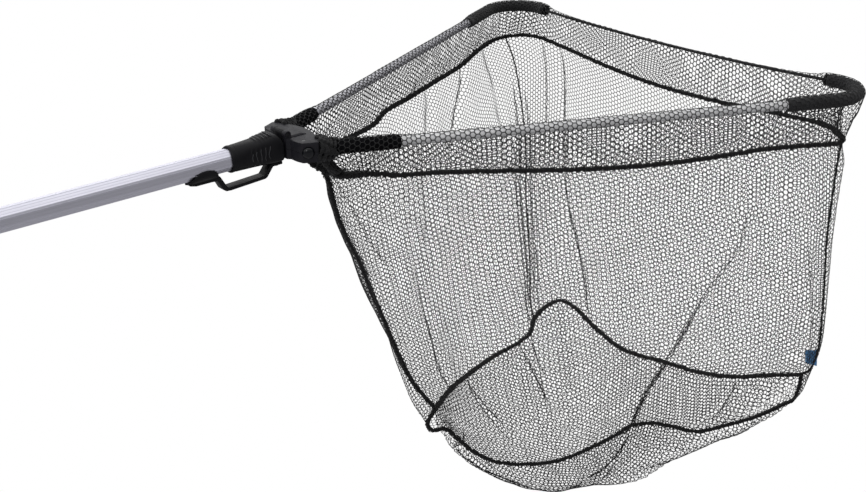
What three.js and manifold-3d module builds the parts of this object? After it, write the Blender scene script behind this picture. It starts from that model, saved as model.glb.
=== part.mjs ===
// Folding landing net: telescopic handle, fold-over head joint with a sliding lock collar and belt clip,
// two hook-ended arms that swing together, a taut front cord and a bag sewn from net panels.
// Millimetres, +X along the handle towards the head, +Y to the left arm, +Z up. Origin: centre of the hand grip.
import * as THREE from 'three';
import { mergeVertices } from 'three/addons/utils/BufferGeometryUtils.js';
import Module from 'manifold-3d';

const wasm = await Module();
wasm.setup();

// ---------------------------------------------------------------- driving dimensions
const PIVOT_X = 670;              // arm pivots, from the grip centre
const PIVOT_Y = 27.9;             // half spacing of the arm pivots
const ARM_ANGLE = 26.2 * Math.PI / 180;   // each arm from the handle axis
const ARM_STRAIGHT = 590;         // pivot to the start of the tip bend
const BEND_R = 42.6;              // centreline radius of the tip bend
const BEND_ANGLE = 128.8 * Math.PI / 180;
const ARM_END = 6;                // straight end after the bend
const ARM_TUBE_R = 5;             // arm tube outside radius
const ARM_WALL = 1;
const FOAM_R = 7.6;               // foam sleeve outside radius
const FOAM_IN = 5.35;
const BASE_FOAM = [21, 99];       // along the right-hand arm
const BASE_FOAM_LEFT = 82;        // the left-hand one is cut shorter
const TIP_FOAM_START = 529;       // along the right-hand arm
const TIP_FOAM_START_LEFT = 511;

const TUBE_R = 11.25;             // front tube, over the corners of its eight flats
const TUBE_IN = 9.9;
const TUBE_FRONT = [-540, -24];   // from the arm pivots
const REAR_R = 13.5;              // rear tube
const REAR_IN = 12.3;
const REAR_TUBE = [-790, -340];
const GRIP_R = 17;
const GRIP = [-780, -560];
const HINGE = [-9, 14.5];         // head hinge axis: x, z from the arm pivots
const HINGE_R = 3.8;
const PIN_R = 1.9;
const COLLAR = [-73, -14.5];      // lock collar, rear and front
const COLLAR_BORE = 11.85;
const YOKE_TOP = 10.5;            // half height of the yoke
const HUB_R = 6.2;
const CHEEK_IN = 6.7;             // cheek wall, from the arm centreline
const CHEEK_OUT = 9.6;
const BUTTON_S = 3;               // arm button, along the arm from the pivot
const BUTTON_R = 6;
const NET_T = 1.4;                // thickness of the net panels' solids
const CORD_R = 2;

// ---------------------------------------------------------------- helpers
const root = new THREE.Group();
const V3 = (x, y, z) => new THREE.Vector3(x, y, z);

function mat(color, roughness, metalness = 0) {
  return new THREE.MeshStandardMaterial({ color, roughness, metalness });
}

function toSolid(geometry) {
  let g = geometry.clone();
  g.deleteAttribute('normal');
  g.deleteAttribute('uv');
  g = mergeVertices(g, 1e-4);
  const p = g.attributes.position.array;
  const idx = g.index.array;
  return new wasm.Manifold(new wasm.Mesh({ numProp: 3, vertProperties: new Float32Array(p), triVerts: new Uint32Array(idx) }));
}

function toGeometry(solid) {
  const m = solid.getMesh();
  const g = new THREE.BufferGeometry();
  g.setAttribute('position', new THREE.BufferAttribute(new Float32Array(m.vertProperties), 3));
  g.setIndex(new THREE.BufferAttribute(new Uint32Array(m.triVerts), 1));
  g.computeVertexNormals();
  return g;
}

function add(group, name, geometry, material) {
  const mesh = new THREE.Mesh(geometry, material);
  mesh.name = name;
  group.add(mesh);
  return mesh;
}

// closed outline in XY, extruded from z0 to z1
function prism(points, z0, z1, holes = []) {
  const s = new THREE.Shape(points.map(([x, y]) => new THREE.Vector2(x, y)));
  for (const h of holes) s.holes.push(new THREE.Path(h.map(([x, y]) => new THREE.Vector2(x, y))));
  const g = new THREE.ExtrudeGeometry(s, { depth: z1 - z0, bevelEnabled: false, steps: 1 });
  g.translate(0, 0, z0);
  return g;
}

const ring = (r, n, phase = 0) => Array.from({ length: n }, (_, i) => {
  const a = phase + i * 2 * Math.PI / n;
  return [r * Math.cos(a), r * Math.sin(a)];
});

// profile [[radius, along], ...] turned about X; `along` is measured on X
function turned(profile, n = 20) {
  const g = new THREE.LatheGeometry(profile.map(([r, a]) => new THREE.Vector2(r, a)), n);
  g.rotateZ(-Math.PI / 2);
  return g;
}

function box(x0, x1, y0, y1, z0, z1) {
  const g = new THREE.BoxGeometry(x1 - x0, y1 - y0, z1 - z0);
  g.translate((x0 + x1) / 2, (y0 + y1) / 2, (z0 + z1) / 2);
  return g;
}

function cylX(r, x0, x1, n = 20, y = 0, z = 0) {
  const g = new THREE.CylinderGeometry(r, r, x1 - x0, n);
  g.rotateZ(-Math.PI / 2);
  g.translate((x0 + x1) / 2, y, z);
  return g;
}
function cylY(r, y0, y1, n = 20, x = 0, z = 0) {
  const g = new THREE.CylinderGeometry(r, r, y1 - y0, n);
  g.translate(x, (y0 + y1) / 2, z);
  return g;
}
function cylZ(r, z0, z1, n = 20, x = 0, y = 0) {
  const g = new THREE.CylinderGeometry(r, r, z1 - z0, n);
  g.rotateX(Math.PI / 2);
  g.translate(x, y, (z0 + z1) / 2);
  return g;
}

// tube outline with eight flats and eased corners
function fluted(r, n = 8) {
  const out = [];
  for (let k = 0; k < n; k++) {
    for (const d of [-7.5, 7.5]) {
      const a = (22.5 + 45 * k + d) * Math.PI / 180;
      out.push([r * Math.cos(a), r * Math.sin(a)]);
    }
  }
  return out;
}

function alongX(points, x0, x1, holes = []) {
  const g = prism(points, x0, x1, holes);   // outline (y, z) drawn in (X, Y), extruded on Z
  g.applyMatrix4(new THREE.Matrix4().makeBasis(V3(0, 1, 0), V3(0, 0, 1), V3(1, 0, 0)));
  return g;
}

// a centreline with its own spacing of steps
class Line3 extends THREE.Curve {
  constructor(points) { super(); this.points = points; }
  getPoint(t, target = new THREE.Vector3()) {
    const n = this.points.length - 1;
    const i = Math.min(Math.floor(t * n), n - 1);
    return target.copy(this.points[i]).lerp(this.points[i + 1], t * n - i);
  }
  getTangent(t, target = new THREE.Vector3()) {
    const n = this.points.length - 1;
    const k = Math.round(t * n);
    const a = this.points[Math.max(k - 1, 0)], b = this.points[Math.min(k + 1, n)];
    return target.copy(b).sub(a).normalize();
  }
  getPointAt(u, target) { return this.getPoint(u, target); }
  getTangentAt(u, target) { return this.getTangent(u, target); }
  getSpacedPoints(n) { return Array.from({ length: n + 1 }, (_, i) => this.getPoint(i / n)); }
}

function sweep(points, outline, holes = []) {
  const s = new THREE.Shape(outline.map(([x, y]) => new THREE.Vector2(x, y)));
  for (const h of holes) s.holes.push(new THREE.Path(h.map(([x, y]) => new THREE.Vector2(x, y))));
  const g = new THREE.ExtrudeGeometry(s, { steps: points.length - 1, extrudePath: new Line3(points), bevelEnabled: false });
  const solid = toSolid(g);
  return solid.volume() < 0 ? toGeometry(toSolid(flip(g))) : toGeometry(solid);
}

function flip(g) {
  const h = g.index ? g.toNonIndexed() : g.clone();
  const p = h.attributes.position.array;
  for (let i = 0; i < p.length; i += 9) for (let k = 0; k < 3; k++) { const t = p[i + 3 + k]; p[i + 3 + k] = p[i + 6 + k]; p[i + 6 + k] = t; }
  return h;
}

// loft of closed sections (all with the same number of points), capped at both ends
function loft(sections) {
  const n = sections[0].length;
  const pos = [];
  const idx = [];
  for (const s of sections) for (const p of s) pos.push(p[0], p[1], p[2]);
  for (let k = 0; k < sections.length - 1; k++) for (let i = 0; i < n; i++) {
    const a = k * n + i, b = k * n + (i + 1) % n, c = a + n, d = b + n;
    idx.push(a, b, d, a, d, c);
  }
  for (const [k, dir] of [[0, -1], [sections.length - 1, 1]]) {
    const c = pos.length / 3;
    const m = sections[k].reduce((q, p) => [q[0] + p[0] / n, q[1] + p[1] / n, q[2] + p[2] / n], [0, 0, 0]);
    pos.push(...m);
    for (let i = 0; i < n; i++) {
      const a = k * n + i, b = k * n + (i + 1) % n;
      if (dir < 0) idx.push(c, b, a); else idx.push(c, a, b);
    }
  }
  const g = new THREE.BufferGeometry();
  g.setAttribute('position', new THREE.BufferAttribute(new Float32Array(pos), 3));
  g.setIndex(idx);
  const s = toSolid(g);
  if (s.volume() >= 0) return g;
  const r = g.index.array;
  for (let i = 0; i < r.length; i += 3) { const t = r[i]; r[i] = r[i + 1]; r[i + 1] = t; }
  return g;
}

// a sheet given as rows of points, thickened along its own normals
function sheet(rows, thickness, closed = false) {
  const R = rows.length, N = rows[0].length;
  const P = rows.map(r => r.map(p => V3(...p)));
  const normal = (i, j) => {
    const jp = closed ? (j + 1) % N : Math.min(j + 1, N - 1), jm = closed ? (j - 1 + N) % N : Math.max(j - 1, 0);
    const ip = Math.min(i + 1, R - 1), im = Math.max(i - 1, 0);
    const du = P[i][jp].clone().sub(P[i][jm]), dv = P[ip][j].clone().sub(P[im][j]);
    return du.cross(dv).normalize();
  };
  const pos = [];
  for (const s of [0.5, -0.5]) for (let i = 0; i < R; i++) for (let j = 0; j < N; j++) {
    const q = P[i][j].clone().addScaledVector(normal(i, j), s * thickness);
    pos.push(q.x, q.y, q.z);
  }
  const id = (s, i, j) => s * R * N + i * N + (closed ? j % N : j);
  const idx = [];
  const M = closed ? N : N - 1;
  for (let i = 0; i < R - 1; i++) for (let j = 0; j < M; j++) {
    idx.push(id(0, i, j), id(0, i, j + 1), id(0, i + 1, j + 1), id(0, i, j), id(0, i + 1, j + 1), id(0, i + 1, j));
    idx.push(id(1, i, j), id(1, i + 1, j + 1), id(1, i, j + 1), id(1, i, j), id(1, i + 1, j), id(1, i + 1, j + 1));
  }
  for (let j = 0; j < M; j++) for (const [i, f] of [[0, 0], [R - 1, 1]]) {
    const a = id(0, i, j), b = id(0, i, j + 1), c = id(1, i, j + 1), d = id(1, i, j);
    if (f) idx.push(a, b, c, a, c, d); else idx.push(a, c, b, a, d, c);
  }
  if (!closed) for (let i = 0; i < R - 1; i++) for (const [j, f] of [[0, 1], [N - 1, 0]]) {
    const a = id(0, i, j), b = id(0, i + 1, j), c = id(1, i + 1, j), d = id(1, i, j);
    if (f) idx.push(a, b, c, a, c, d); else idx.push(a, c, b, a, d, c);
  }
  const g = new THREE.BufferGeometry();
  g.setAttribute('position', new THREE.BufferAttribute(new Float32Array(pos), 3));
  g.setIndex(idx);
  const s = toSolid(g);
  if (s.volume() >= 0) return g;
  const r = g.index.array;
  for (let i = 0; i < r.length; i += 3) { const t = r[i]; r[i] = r[i + 1]; r[i + 1] = t; }
  return g;
}

const union = (...s) => s.reduce((a, b) => a.add(b));

// ---------------------------------------------------------------- materials
const aluminium = () => mat(0xc6c5cf, 0.32, 0.9);
const tubeGrey = () => mat(0xb4b4bd, 0.35, 0.9);
const black = () => mat(0x17171b, 0.5);
const charcoal = () => mat(0x2e2e33, 0.55);
const foam = () => mat(0x1a1a1c, 0.95);
const steel = () => mat(0x9a9a9f, 0.35, 0.9);
const netting = () => mat(0x111113, 0.8);
const gloss = () => mat(0x0a0c10, 0.12);

// ---------------------------------------------------------------- rear handle (held in the hand)
const head = new THREE.Group();          // everything measured from the arm pivots
head.position.x = PIVOT_X;
root.add(head);

add(head, 'rear_tube', alongX(fluted(REAR_R), REAR_TUBE[0], REAR_TUBE[1], [ring(REAR_IN, 16)]), tubeGrey());
add(head, 'hand_grip', turned([[13.95, GRIP[0]], [GRIP_R - 1.5, GRIP[0]], [GRIP_R, GRIP[0] + 4], [GRIP_R, GRIP[0] + 60], [GRIP_R - 0.8, GRIP[0] + 110],
  [GRIP_R, GRIP[0] + 160], [GRIP_R, GRIP[1] - 4], [GRIP_R - 1.5, GRIP[1]], [13.95, GRIP[1]], [13.95, GRIP[0]]], 20), foam());
{
  // end cap: a cup over the rear tube end with a flat outer face and a lanyard hole across its lip
  const cup = turned([[0, -802], [12, -802], [15.2, -799], [16, -794], [16, -780.5], [13.95, -780.5], [13.95, -790.4], [0, -790.4]], 20);
  let s = toSolid(cup);
  s = s.subtract(toSolid(cylY(1.6, -30, 30, 10, -796, 0)));
  add(head, 'end_cap', toGeometry(s), black());
}
{
  // clamp housing on the front end of the rear tube, with the button boss on top
  let s = toSolid(turned([[11.75, -336.5], [11.75, -339.6], [13.85, -339.6], [13.85, -374], [15.6, -374], [16.6, -370], [16.6, -342], [15.4, -336.5], [11.75, -336.5]], 20));
  const boss = toSolid(prism([[-366, -7.5], [-348, -7.5], [-345, -4.5], [-345, 4.5], [-348, 7.5], [-366, 7.5], [-369, 4.5], [-369, -4.5]], 14.9, 19.4));
  s = s.add(boss).subtract(toSolid(cylZ(4.35, 14.1, 25, 16, -357, 0)));
  add(head, 'tube_lock_housing', toGeometry(s), black());
  const b = new THREE.LatheGeometry([[0, 16.3], [4, 16.3], [4, 20.4], [3.2, 21.2], [0, 21.4]].map(([r, z]) => new THREE.Vector2(r, z)), 16);
  b.rotateX(Math.PI / 2);
  b.translate(-357, 0, 0);
  add(head, 'tube_lock_button', b, charcoal());
}

// ---------------------------------------------------------------- front tube and hinge plug
add(head, 'front_tube', alongX(fluted(TUBE_R), TUBE_FRONT[0], TUBE_FRONT[1], [ring(TUBE_IN, 16)]), aluminium());
add(head, 'tube_guide', turned([[0, -546], [11.3, -546], [11.9, -545], [11.9, -540.4], [9.45, -540.4], [9.45, -522], [8.6, -520], [0, -520]], 16), black());
{
  // hinge plug: a round stub inside the tube, a square nose, and the middle knuckle of the hinge
  let s = toSolid(cylX(9.35, -62, -22, 16));
  s = s.add(toSolid(box(-23.7, -5, -6.8, 6.8, -7, 8.6)));
  s = s.add(toSolid(box(-12.7, -5.2, -6.8, 6.8, 8, 14.5)));
  s = s.add(toSolid(cylY(HINGE_R, -6.8, 6.8, 16, HINGE[0], HINGE[1])));
  s = s.subtract(toSolid(cylY(PIN_R + 0.3, -20, 20, 12, HINGE[0], HINGE[1])));
  s = s.subtract(toSolid(cylY(1.95, -20, 20, 10, -44, 0)));
  add(head, 'hinge_plug', toGeometry(s), charcoal());
}
// one rivet crosses the stub inside the tube and holds the plug
add(head, 'plug_rivet', cylY(1.6, -9.2, 9.2, 10, -44, 0), steel());
add(head, 'hinge_pin', cylY(PIN_R, -13.3, 13.3, 12, HINGE[0], HINGE[1]), steel());

// ---------------------------------------------------------------- lock collar
{
  const N = 24;
  const section = (x, w, top, bottom, e, rake) => Array.from({ length: N }, (_, i) => {
    const a = i * 2 * Math.PI / N;
    const c = Math.cos(a), s = Math.sin(a);
    const y = w * Math.sign(c) * Math.pow(Math.abs(c), e);
    const h = s >= 0 ? top : bottom;
    const z = h * Math.sign(s) * Math.pow(Math.abs(s), e);
    return [x + (z > 7 ? -(z - 7) * rake : 0), y, z];
  });
  const g = loft([
    section(COLLAR[0], 13.2, 13.4, 13.2, 1, -0.25),
    section(-69, 13.6, 13.6, 13.6, 1, -0.2),
    section(-60, 13.7, 13.8, 13.6, 0.95, 0),
    section(-44, 13.8, 14.4, 13.5, 0.78, 0),
    section(-30, 14, 15.6, 13.4, 0.6, 0.1),
    section(-22, 14.1, 16.6, 13.3, 0.5, 0.3),
    section(COLLAR[1], 14.1, 16.5, 13.2, 0.5, 0.64),
  ]);
  let s = toSolid(g).subtract(toSolid(cylX(COLLAR_BORE, -90, 0, 24)));
  add(head, 'lock_collar', toGeometry(s), black());
}
{
  // belt clip: foot under the collar, drop, bar, rise and a pad against the tube
  const outer = [[-12.8, -14.3], [-12.8, -17.6], [-24, -17.8], [-31.5, -27.4], [-34, -28.6], [-74, -30.6], [-79.5, -30.2], [-82.5, -28], [-88, -17.2], [-95, -16.7], [-112, -16.6], [-118.5, -15], [-120, -13.2],
    [-118, -11.9], [-90, -11.7], [-85, -13], [-77.5, -26.4], [-74.5, -27.1], [-35.2, -25.2], [-27.5, -15.5], [-24.8, -14.3]];
  const g = prism(outer.map(([x, z]) => [x, z]), -6, 6);
  g.rotateX(Math.PI / 2);
  add(head, 'belt_clip', toGeometry(toSolid(g)), black());
  add(head, 'clip_screw', toGeometry(toSolid(cylZ(3.2, -19.2, -17.95, 12, -18, 0))), steel());
}

// ---------------------------------------------------------------- yoke
const ca = Math.cos(ARM_ANGLE), sa = Math.sin(ARM_ANGLE);
// point on the right-hand arm (side = -1) or left-hand arm (side = +1): s along the arm, d outwards
const armPoint = (s, d, side) => [s * ca - d * sa, side * (PIVOT_Y + s * sa + d * ca)];
const mirror = pts => [...pts, ...pts.slice().reverse().map(([x, y]) => [x, -y])];

function yokeOutline(grow = 0) {
  const half = [[-12, 7.2], [-12, 13.6], [-9, 17.2], [-8.7, 27], armPoint(-3.4, 8.9 + grow, 1), armPoint(-2.2, CHEEK_OUT + grow, 1), armPoint(13.5, CHEEK_OUT + grow, 1), armPoint(14.5, 7, 1), armPoint(14.5, -6.5, 1), [20.5, 15], [22.5, 5]];
  return half;
}
function buttonAxis(side) {   // matrix: local Z points outwards through the cheek
  const out = V3(-sa, side * ca, 0), along = V3(ca, side * sa, 0);
  const up = V3(0, 0, 1);
  const x = side > 0 ? up.clone() : up.clone().negate();
  const y = new THREE.Vector3().crossVectors(out, x);
  const [px, py] = armPoint(BUTTON_S, 0, side);
  return new THREE.Matrix4().makeBasis(x, y, out).setPosition(px, py, 0);
}
function yokeHalf(upper) {
  const z0 = upper ? 0.15 : -YOKE_TOP, z1 = upper ? YOKE_TOP : -0.15;
  const p0 = upper ? 7.3 : -YOKE_TOP, p1 = upper ? YOKE_TOP : -7.3;
  let s = toSolid(prism(mirror(yokeOutline()).reverse(), p0, p1));
  s = s.add(toSolid(prism([[-12, -13.6], [-9, -17.2], [20.5, -15], [22.5, -5], [22.5, 5], [20.5, 15], [-9, 17.2], [-12, 13.6]], z0, z1)));
  for (const side of [-1, 1]) {
    // rear corner and outer cheek in one wall, rounded inside to clear the arm's hub
    const round = deg => [6.95 * Math.cos(deg * Math.PI / 180), side * (PIVOT_Y + 6.95 * Math.sin(deg * Math.PI / 180))];
    const wall = [[-10.6, 15 * side], [-9, 17.2 * side], [-8.7, 27 * side], armPoint(-3.4, 8.9, side), armPoint(-2.2, CHEEK_OUT, side), armPoint(13.5, CHEEK_OUT, side), armPoint(14.5, CHEEK_IN, side), armPoint(0, CHEEK_IN + 0.2, side), round(140), round(160), round(180), [-7, 22 * side], [-6.5, 15 * side]];
    s = s.add(toSolid(prism(side > 0 ? wall.slice().reverse() : wall, upper ? z0 : p1 - 0.4, upper ? p0 + 0.4 : z1)));
  }
  if (upper) {
    // crowned middle and the two outer knuckles
    s = s.add(toSolid(loft([[[-11, 12.6, 9], [15, 12.6, 9], [15, -12.6, 9], [-11, -12.6, 9]], [[-11, 12.6, 11], [13, 12.6, 11], [13, -12.6, 11], [-11, -12.6, 11]], [[-10, 11, 12.2], [8, 11, 12.2], [8, -11, 12.2], [-10, -11, 12.2]]])));
    for (const side of [-1, 1]) {
      const y0 = side > 0 ? 7.2 : -13.5, y1 = side > 0 ? 13.5 : -7.2;
      s = s.add(toSolid(cylY(HINGE_R, y0, y1, 16, HINGE[0], HINGE[1])));
      s = s.add(toSolid(box(-12, -5.2, y0, y1, 9, HINGE[1])));
    }
  }
  s = s.subtract(toSolid(box(-20, -4.6, -7.2, 7.2, -20, 30)));
  s = s.subtract(toSolid(cylY(PIN_R + 0.3, -13.5, 13.5, 12, HINGE[0], HINGE[1])));
  for (const side of [-1, 1]) {
    s = s.subtract(toSolid(cylZ(2.3, -30, 30, 12, 0, side * PIVOT_Y)));
    const b = cylZ(BUTTON_R + 0.35, 4, 30, 20);
    b.applyMatrix4(buttonAxis(side));
    s = s.subtract(toSolid(b));
    s = s.subtract(toSolid(cylZ(1.75, -30, upper ? 6 : 30, 12, 8, side * 11)));
    if (!upper) s = s.subtract(toSolid(cylZ(3.3, -30, -8, 12, 8, side * 11)));
  }
  return toGeometry(s);
}
add(head, 'yoke_upper', yokeHalf(true), charcoal());
add(head, 'yoke_lower', yokeHalf(false), charcoal());
for (const side of [-1, 1]) {
  const tag = side < 0 ? 'right' : 'left';
  add(head, `arm_pin_${tag}`, cylZ(2, -10.4, 10.4, 12, 0, side * PIVOT_Y), steel());
  const screw = new THREE.LatheGeometry([[0, -10.3], [3, -10.3], [3, -8.3], [1.45, -8.3], [1.45, 5.6], [0, 5.6]].map(([r, z]) => new THREE.Vector2(r, z)), 12);
  screw.rotateX(Math.PI / 2);
  screw.translate(8, side * 11, 0);
  add(head, `yoke_screw_${tag}`, screw, steel());
  const button = new THREE.LatheGeometry([[0, 8.3], [BUTTON_R, 8.3], [BUTTON_R, 10.2], [5.4, 11.5], [4, 12.5], [2, 13.1], [0, 13.3]].map(([r, z]) => new THREE.Vector2(r, z)), 20);
  button.rotateX(Math.PI / 2);
  button.applyMatrix4(buttonAxis(side));
  add(head, `arm_button_${tag}`, button, gloss());
}

// ---------------------------------------------------------------- arms
// centreline in the arm's own frame: x along the arm, y towards the other arm
function armLine(from, to = null) {
  const pts = [];
  const total = BEND_ANGLE;
  if (from < ARM_STRAIGHT) { pts.push(V3(from, 0, 0)); }
  const steps = 11;
  for (let i = 0; i <= steps; i++) {
    const a = total * i / steps;
    pts.push(V3(ARM_STRAIGHT + BEND_R * Math.sin(a), BEND_R * (1 - Math.cos(a)), 0));
  }
  const d = V3(Math.cos(total), Math.sin(total), 0);
  pts.push(pts[pts.length - 1].clone().addScaledVector(d, ARM_END));
  return pts;
}
const tipOf = () => { const p = armLine(0); return p[p.length - 1]; };
const tipDir = () => V3(Math.cos(BEND_ANGLE), Math.sin(BEND_ANGLE), 0);

for (const side of [-1, 1]) {
  const tag = side < 0 ? 'right' : 'left';
  const inward = -side;                  // local +Y points to the other arm on the right-hand arm
  const arm = new THREE.Group();
  arm.position.set(0, side * PIVOT_Y, 0);
  arm.rotation.z = side * ARM_ANGLE;
  head.add(arm);
  const turn = p => V3(p.x, p.y * inward, p.z);

  // root fitting: hub on the pin and a socket for the tube
  let s = toSolid(cylZ(HUB_R, -7, 7, 20));
  s = s.add(toSolid(box(0, 20.6, -6, 6, -6.6, 6.6)));
  s = s.subtract(toSolid(cylZ(2.3, -20, 20, 12)));
  s = s.subtract(toSolid(cylX(ARM_TUBE_R + 0.35, 8, 30, 16)));
  add(arm, `arm_root_${tag}`, toGeometry(s), charcoal());

  add(arm, `arm_tube_${tag}`, sweep(armLine(8.4).map(turn), ring(ARM_TUBE_R, 10), [ring(ARM_TUBE_R - ARM_WALL, 8).reverse()]), aluminium());
  const foamEnd = side < 0 ? BASE_FOAM[1] : BASE_FOAM_LEFT;
  add(arm, `base_foam_${tag}`, toGeometry(toSolid(turned([[FOAM_IN, BASE_FOAM[0]], [FOAM_R, BASE_FOAM[0]], [FOAM_R, foamEnd], [FOAM_IN, foamEnd], [FOAM_IN, BASE_FOAM[0]]], 14))), foam());
  add(arm, `tip_foam_${tag}`, sweep(armLine(side < 0 ? TIP_FOAM_START : TIP_FOAM_START_LEFT).map(turn), ring(FOAM_R, 12), [ring(FOAM_IN, 10).reverse()]), foam());

  // tip plug: a stub in the tube's end and a cap that closes the foam and holds the cord
  const cap = turned([[0, -9], [3.3, -9], [3.3, 0.35], [FOAM_R - 0.3, 0.35], [FOAM_R - 0.3, 2.6], [5.5, 4], [0, 4.2]], 12);
  const t = tipOf(), d = tipDir();
  const x = turn(V3(d.x, d.y, 0)), z = V3(0, 0, 1), y = new THREE.Vector3().crossVectors(z, x);
  cap.applyMatrix4(new THREE.Matrix4().makeBasis(x, y, z).setPosition(turn(t)));
  add(arm, `tip_plug_${tag}`, cap, black());
}

// ---------------------------------------------------------------- front cord
{
  const t = tipOf().addScaledVector(tipDir(), 4.6);
  const end = V3(t.x * ca + t.y * sa, -(PIVOT_Y + t.x * sa - t.y * ca), 0);
  const pts = [];
  const n = 14;
  for (let i = 0; i <= n; i++) {
    const u = i / n;
    const b = 4 * u * (1 - u);
    pts.push(V3(end.x - 1.5 * b, end.y * (1 - 2 * u), -5 * b));
  }
  add(head, 'front_cord', sweep(pts, ring(CORD_R, 8)), netting());
}

// ---------------------------------------------------------------- bag
// Seams, all from the arm pivots: x, y, z
const seam = pts => new THREE.CatmullRomCurve3(pts.map(p => V3(...p)), false, 'centripetal');
const cornerRear = seam([[20, 0, -12], [40, -3, -40], [60, -7, -110], [90, -8, -200], [124, -7, -285], [158, -3, -350], [184, 0, -388]]);
const cornerRight = seam([[550, -303, -12], [545, -299, -48], [544, -293, -140], [545, -289, -250], [543, -280, -330], [545, -268, -388]]);
const cornerLeft = seam([[556, 304, -12], [577, 306, -50], [571, 269, -115], [549, 228, -208], [524, 198, -289], [508, 173, -352], [488, 142, -426]]);
const bandRight = seam([[36, -28, -30], [83, -70, -35], [171, -113, -41], [279, -166, -50], [399, -225, -51], [471, -261, -46], [545, -299, -48]]);
const bandLeft = seam([[36, 28, -34], [83, 70, -48], [204, 129, -55], [285, 169, -53], [364, 208, -54], [439, 245, -55], [500, 275, -50], [577, 306, -50]]);
const bandFront = seam([[545, -299, -48], [572, -272, -54], [584, -225, -52], [585, -125, -57], [585, -17, -61], [585, 88, -57], [585, 184, -47], [584, 256, -42], [577, 306, -50]]);
const footRight = seam([[184, 0, -388], [213, -24, -445], [258, -56, -478], [320, -101, -471], [384, -148, -425], [437, -190, -438], [495, -232, -418], [545, -268, -388]]);
const footLeft = seam([[184, 0, -388], [251, 47, -408], [303, 79, -424], [351, 102, -434], [398, 118, -440], [459, 121, -432], [488, 142, -426]]);
const footFront = seam([[545, -268, -388], [543, -230, -380], [541, -180, -402], [538, -126, -418], [533, -72, -424], [530, 0, -432], [536, 57, -431], [528, 112, -428], [488, 142, -426]]);
const BELLY = [392, -60, -563];

const lerp = (a, b, t) => a + (b - a) * t;
function wall(top, bottom, sideA, sideB, cols, rows, bulge, tEdge, vRange) {
  const out = [];
  for (let i = 0; i <= rows; i++) {
    const v = lerp(vRange[0], vRange[1], i / rows);
    const a0 = sideA(v), b0 = sideB(v);
    const row = [];
    for (let j = 0; j <= cols; j++) {
      const u = lerp(tEdge, 1 - tEdge, j / cols);
      const t = top.getPointAt(u), b = bottom.getPointAt(u);
      // Coons patch of the four seams
      const p = t.clone().multiplyScalar(1 - v).addScaledVector(b, v)
        .addScaledVector(a0, 1 - u).addScaledVector(b0, u);
      const c00 = top.getPointAt(0), c10 = top.getPointAt(1), c01 = bottom.getPointAt(0), c11 = bottom.getPointAt(1);
      p.addScaledVector(c00, -(1 - u) * (1 - v)).addScaledVector(c10, -u * (1 - v)).addScaledVector(c01, -(1 - u) * v).addScaledVector(c11, -u * v);
      const k = 16 * u * (1 - u) * v * (1 - v);
      p.addScaledVector(V3(...bulge), k);
      row.push([p.x, p.y, p.z]);
    }
    out.push(row);
  }
  return out;
}
// stretch of a corner seam below the band
function below(curve, z0) {
  let lo = 0;
  for (let i = 0; i <= 400; i++) if (curve.getPointAt(i / 400).z > z0) lo = i / 400;
  return v => curve.getPointAt(lo + (1 - lo) * v);
}
const rearLow = v => { const p = below(cornerRear, -34)(v); return p; };
const rightLow = below(cornerRight, -48);
const leftLow = below(cornerLeft, -50);

// band: a ring from just under the arms to the band seam
{
  const cols = [[bandRight, 14], [bandFront, 12], [bandLeft, 14]];
  const low = [];
  for (let j = 0; j < 14; j++) low.push(bandRight.getPointAt(lerp(0.012, 0.985, j / 13)));
  for (let j = 0; j < 12; j++) low.push(bandFront.getPointAt(lerp(0.03, 0.97, j / 11)));
  for (let j = 13; j >= 0; j--) low.push(bandLeft.getPointAt(lerp(0.012, 0.985, j / 13)));
  const rows = [];
  for (let i = 0; i <= 2; i++) {
    const v = i / 2;
    rows.push(low.map(p => {
      // top edge: straight up to the arm or the cord
      const side = Math.sign(p.y) || 1;
      const armY = PIVOT_Y + p.x * Math.tan(ARM_ANGLE) + 4.5;
      const onArm = Math.abs(p.y) > armY - 26 && p.x < 572;
      const tx = p.x, ty = onArm ? side * armY : p.y;
      const z = lerp(-11, p.z + 2.4, v);
      return [tx, lerp(ty, p.y, v), z];
    }));
  }
  add(head, 'net_band', sheet(rows, NET_T, true), netting());
}
const rows = 9;
add(head, 'net_panel_right', sheet(wall(bandRight, footRight, rearLow, rightLow, 12, rows, [4, -12, 0], 0.012, [0.012, 0.985]), NET_T), netting());
add(head, 'net_panel_left', sheet(wall(bandLeft, footLeft, rearLow, leftLow, 12, rows, [4, 14, 0], 0.012, [0.012, 0.985]), NET_T), netting());
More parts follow.
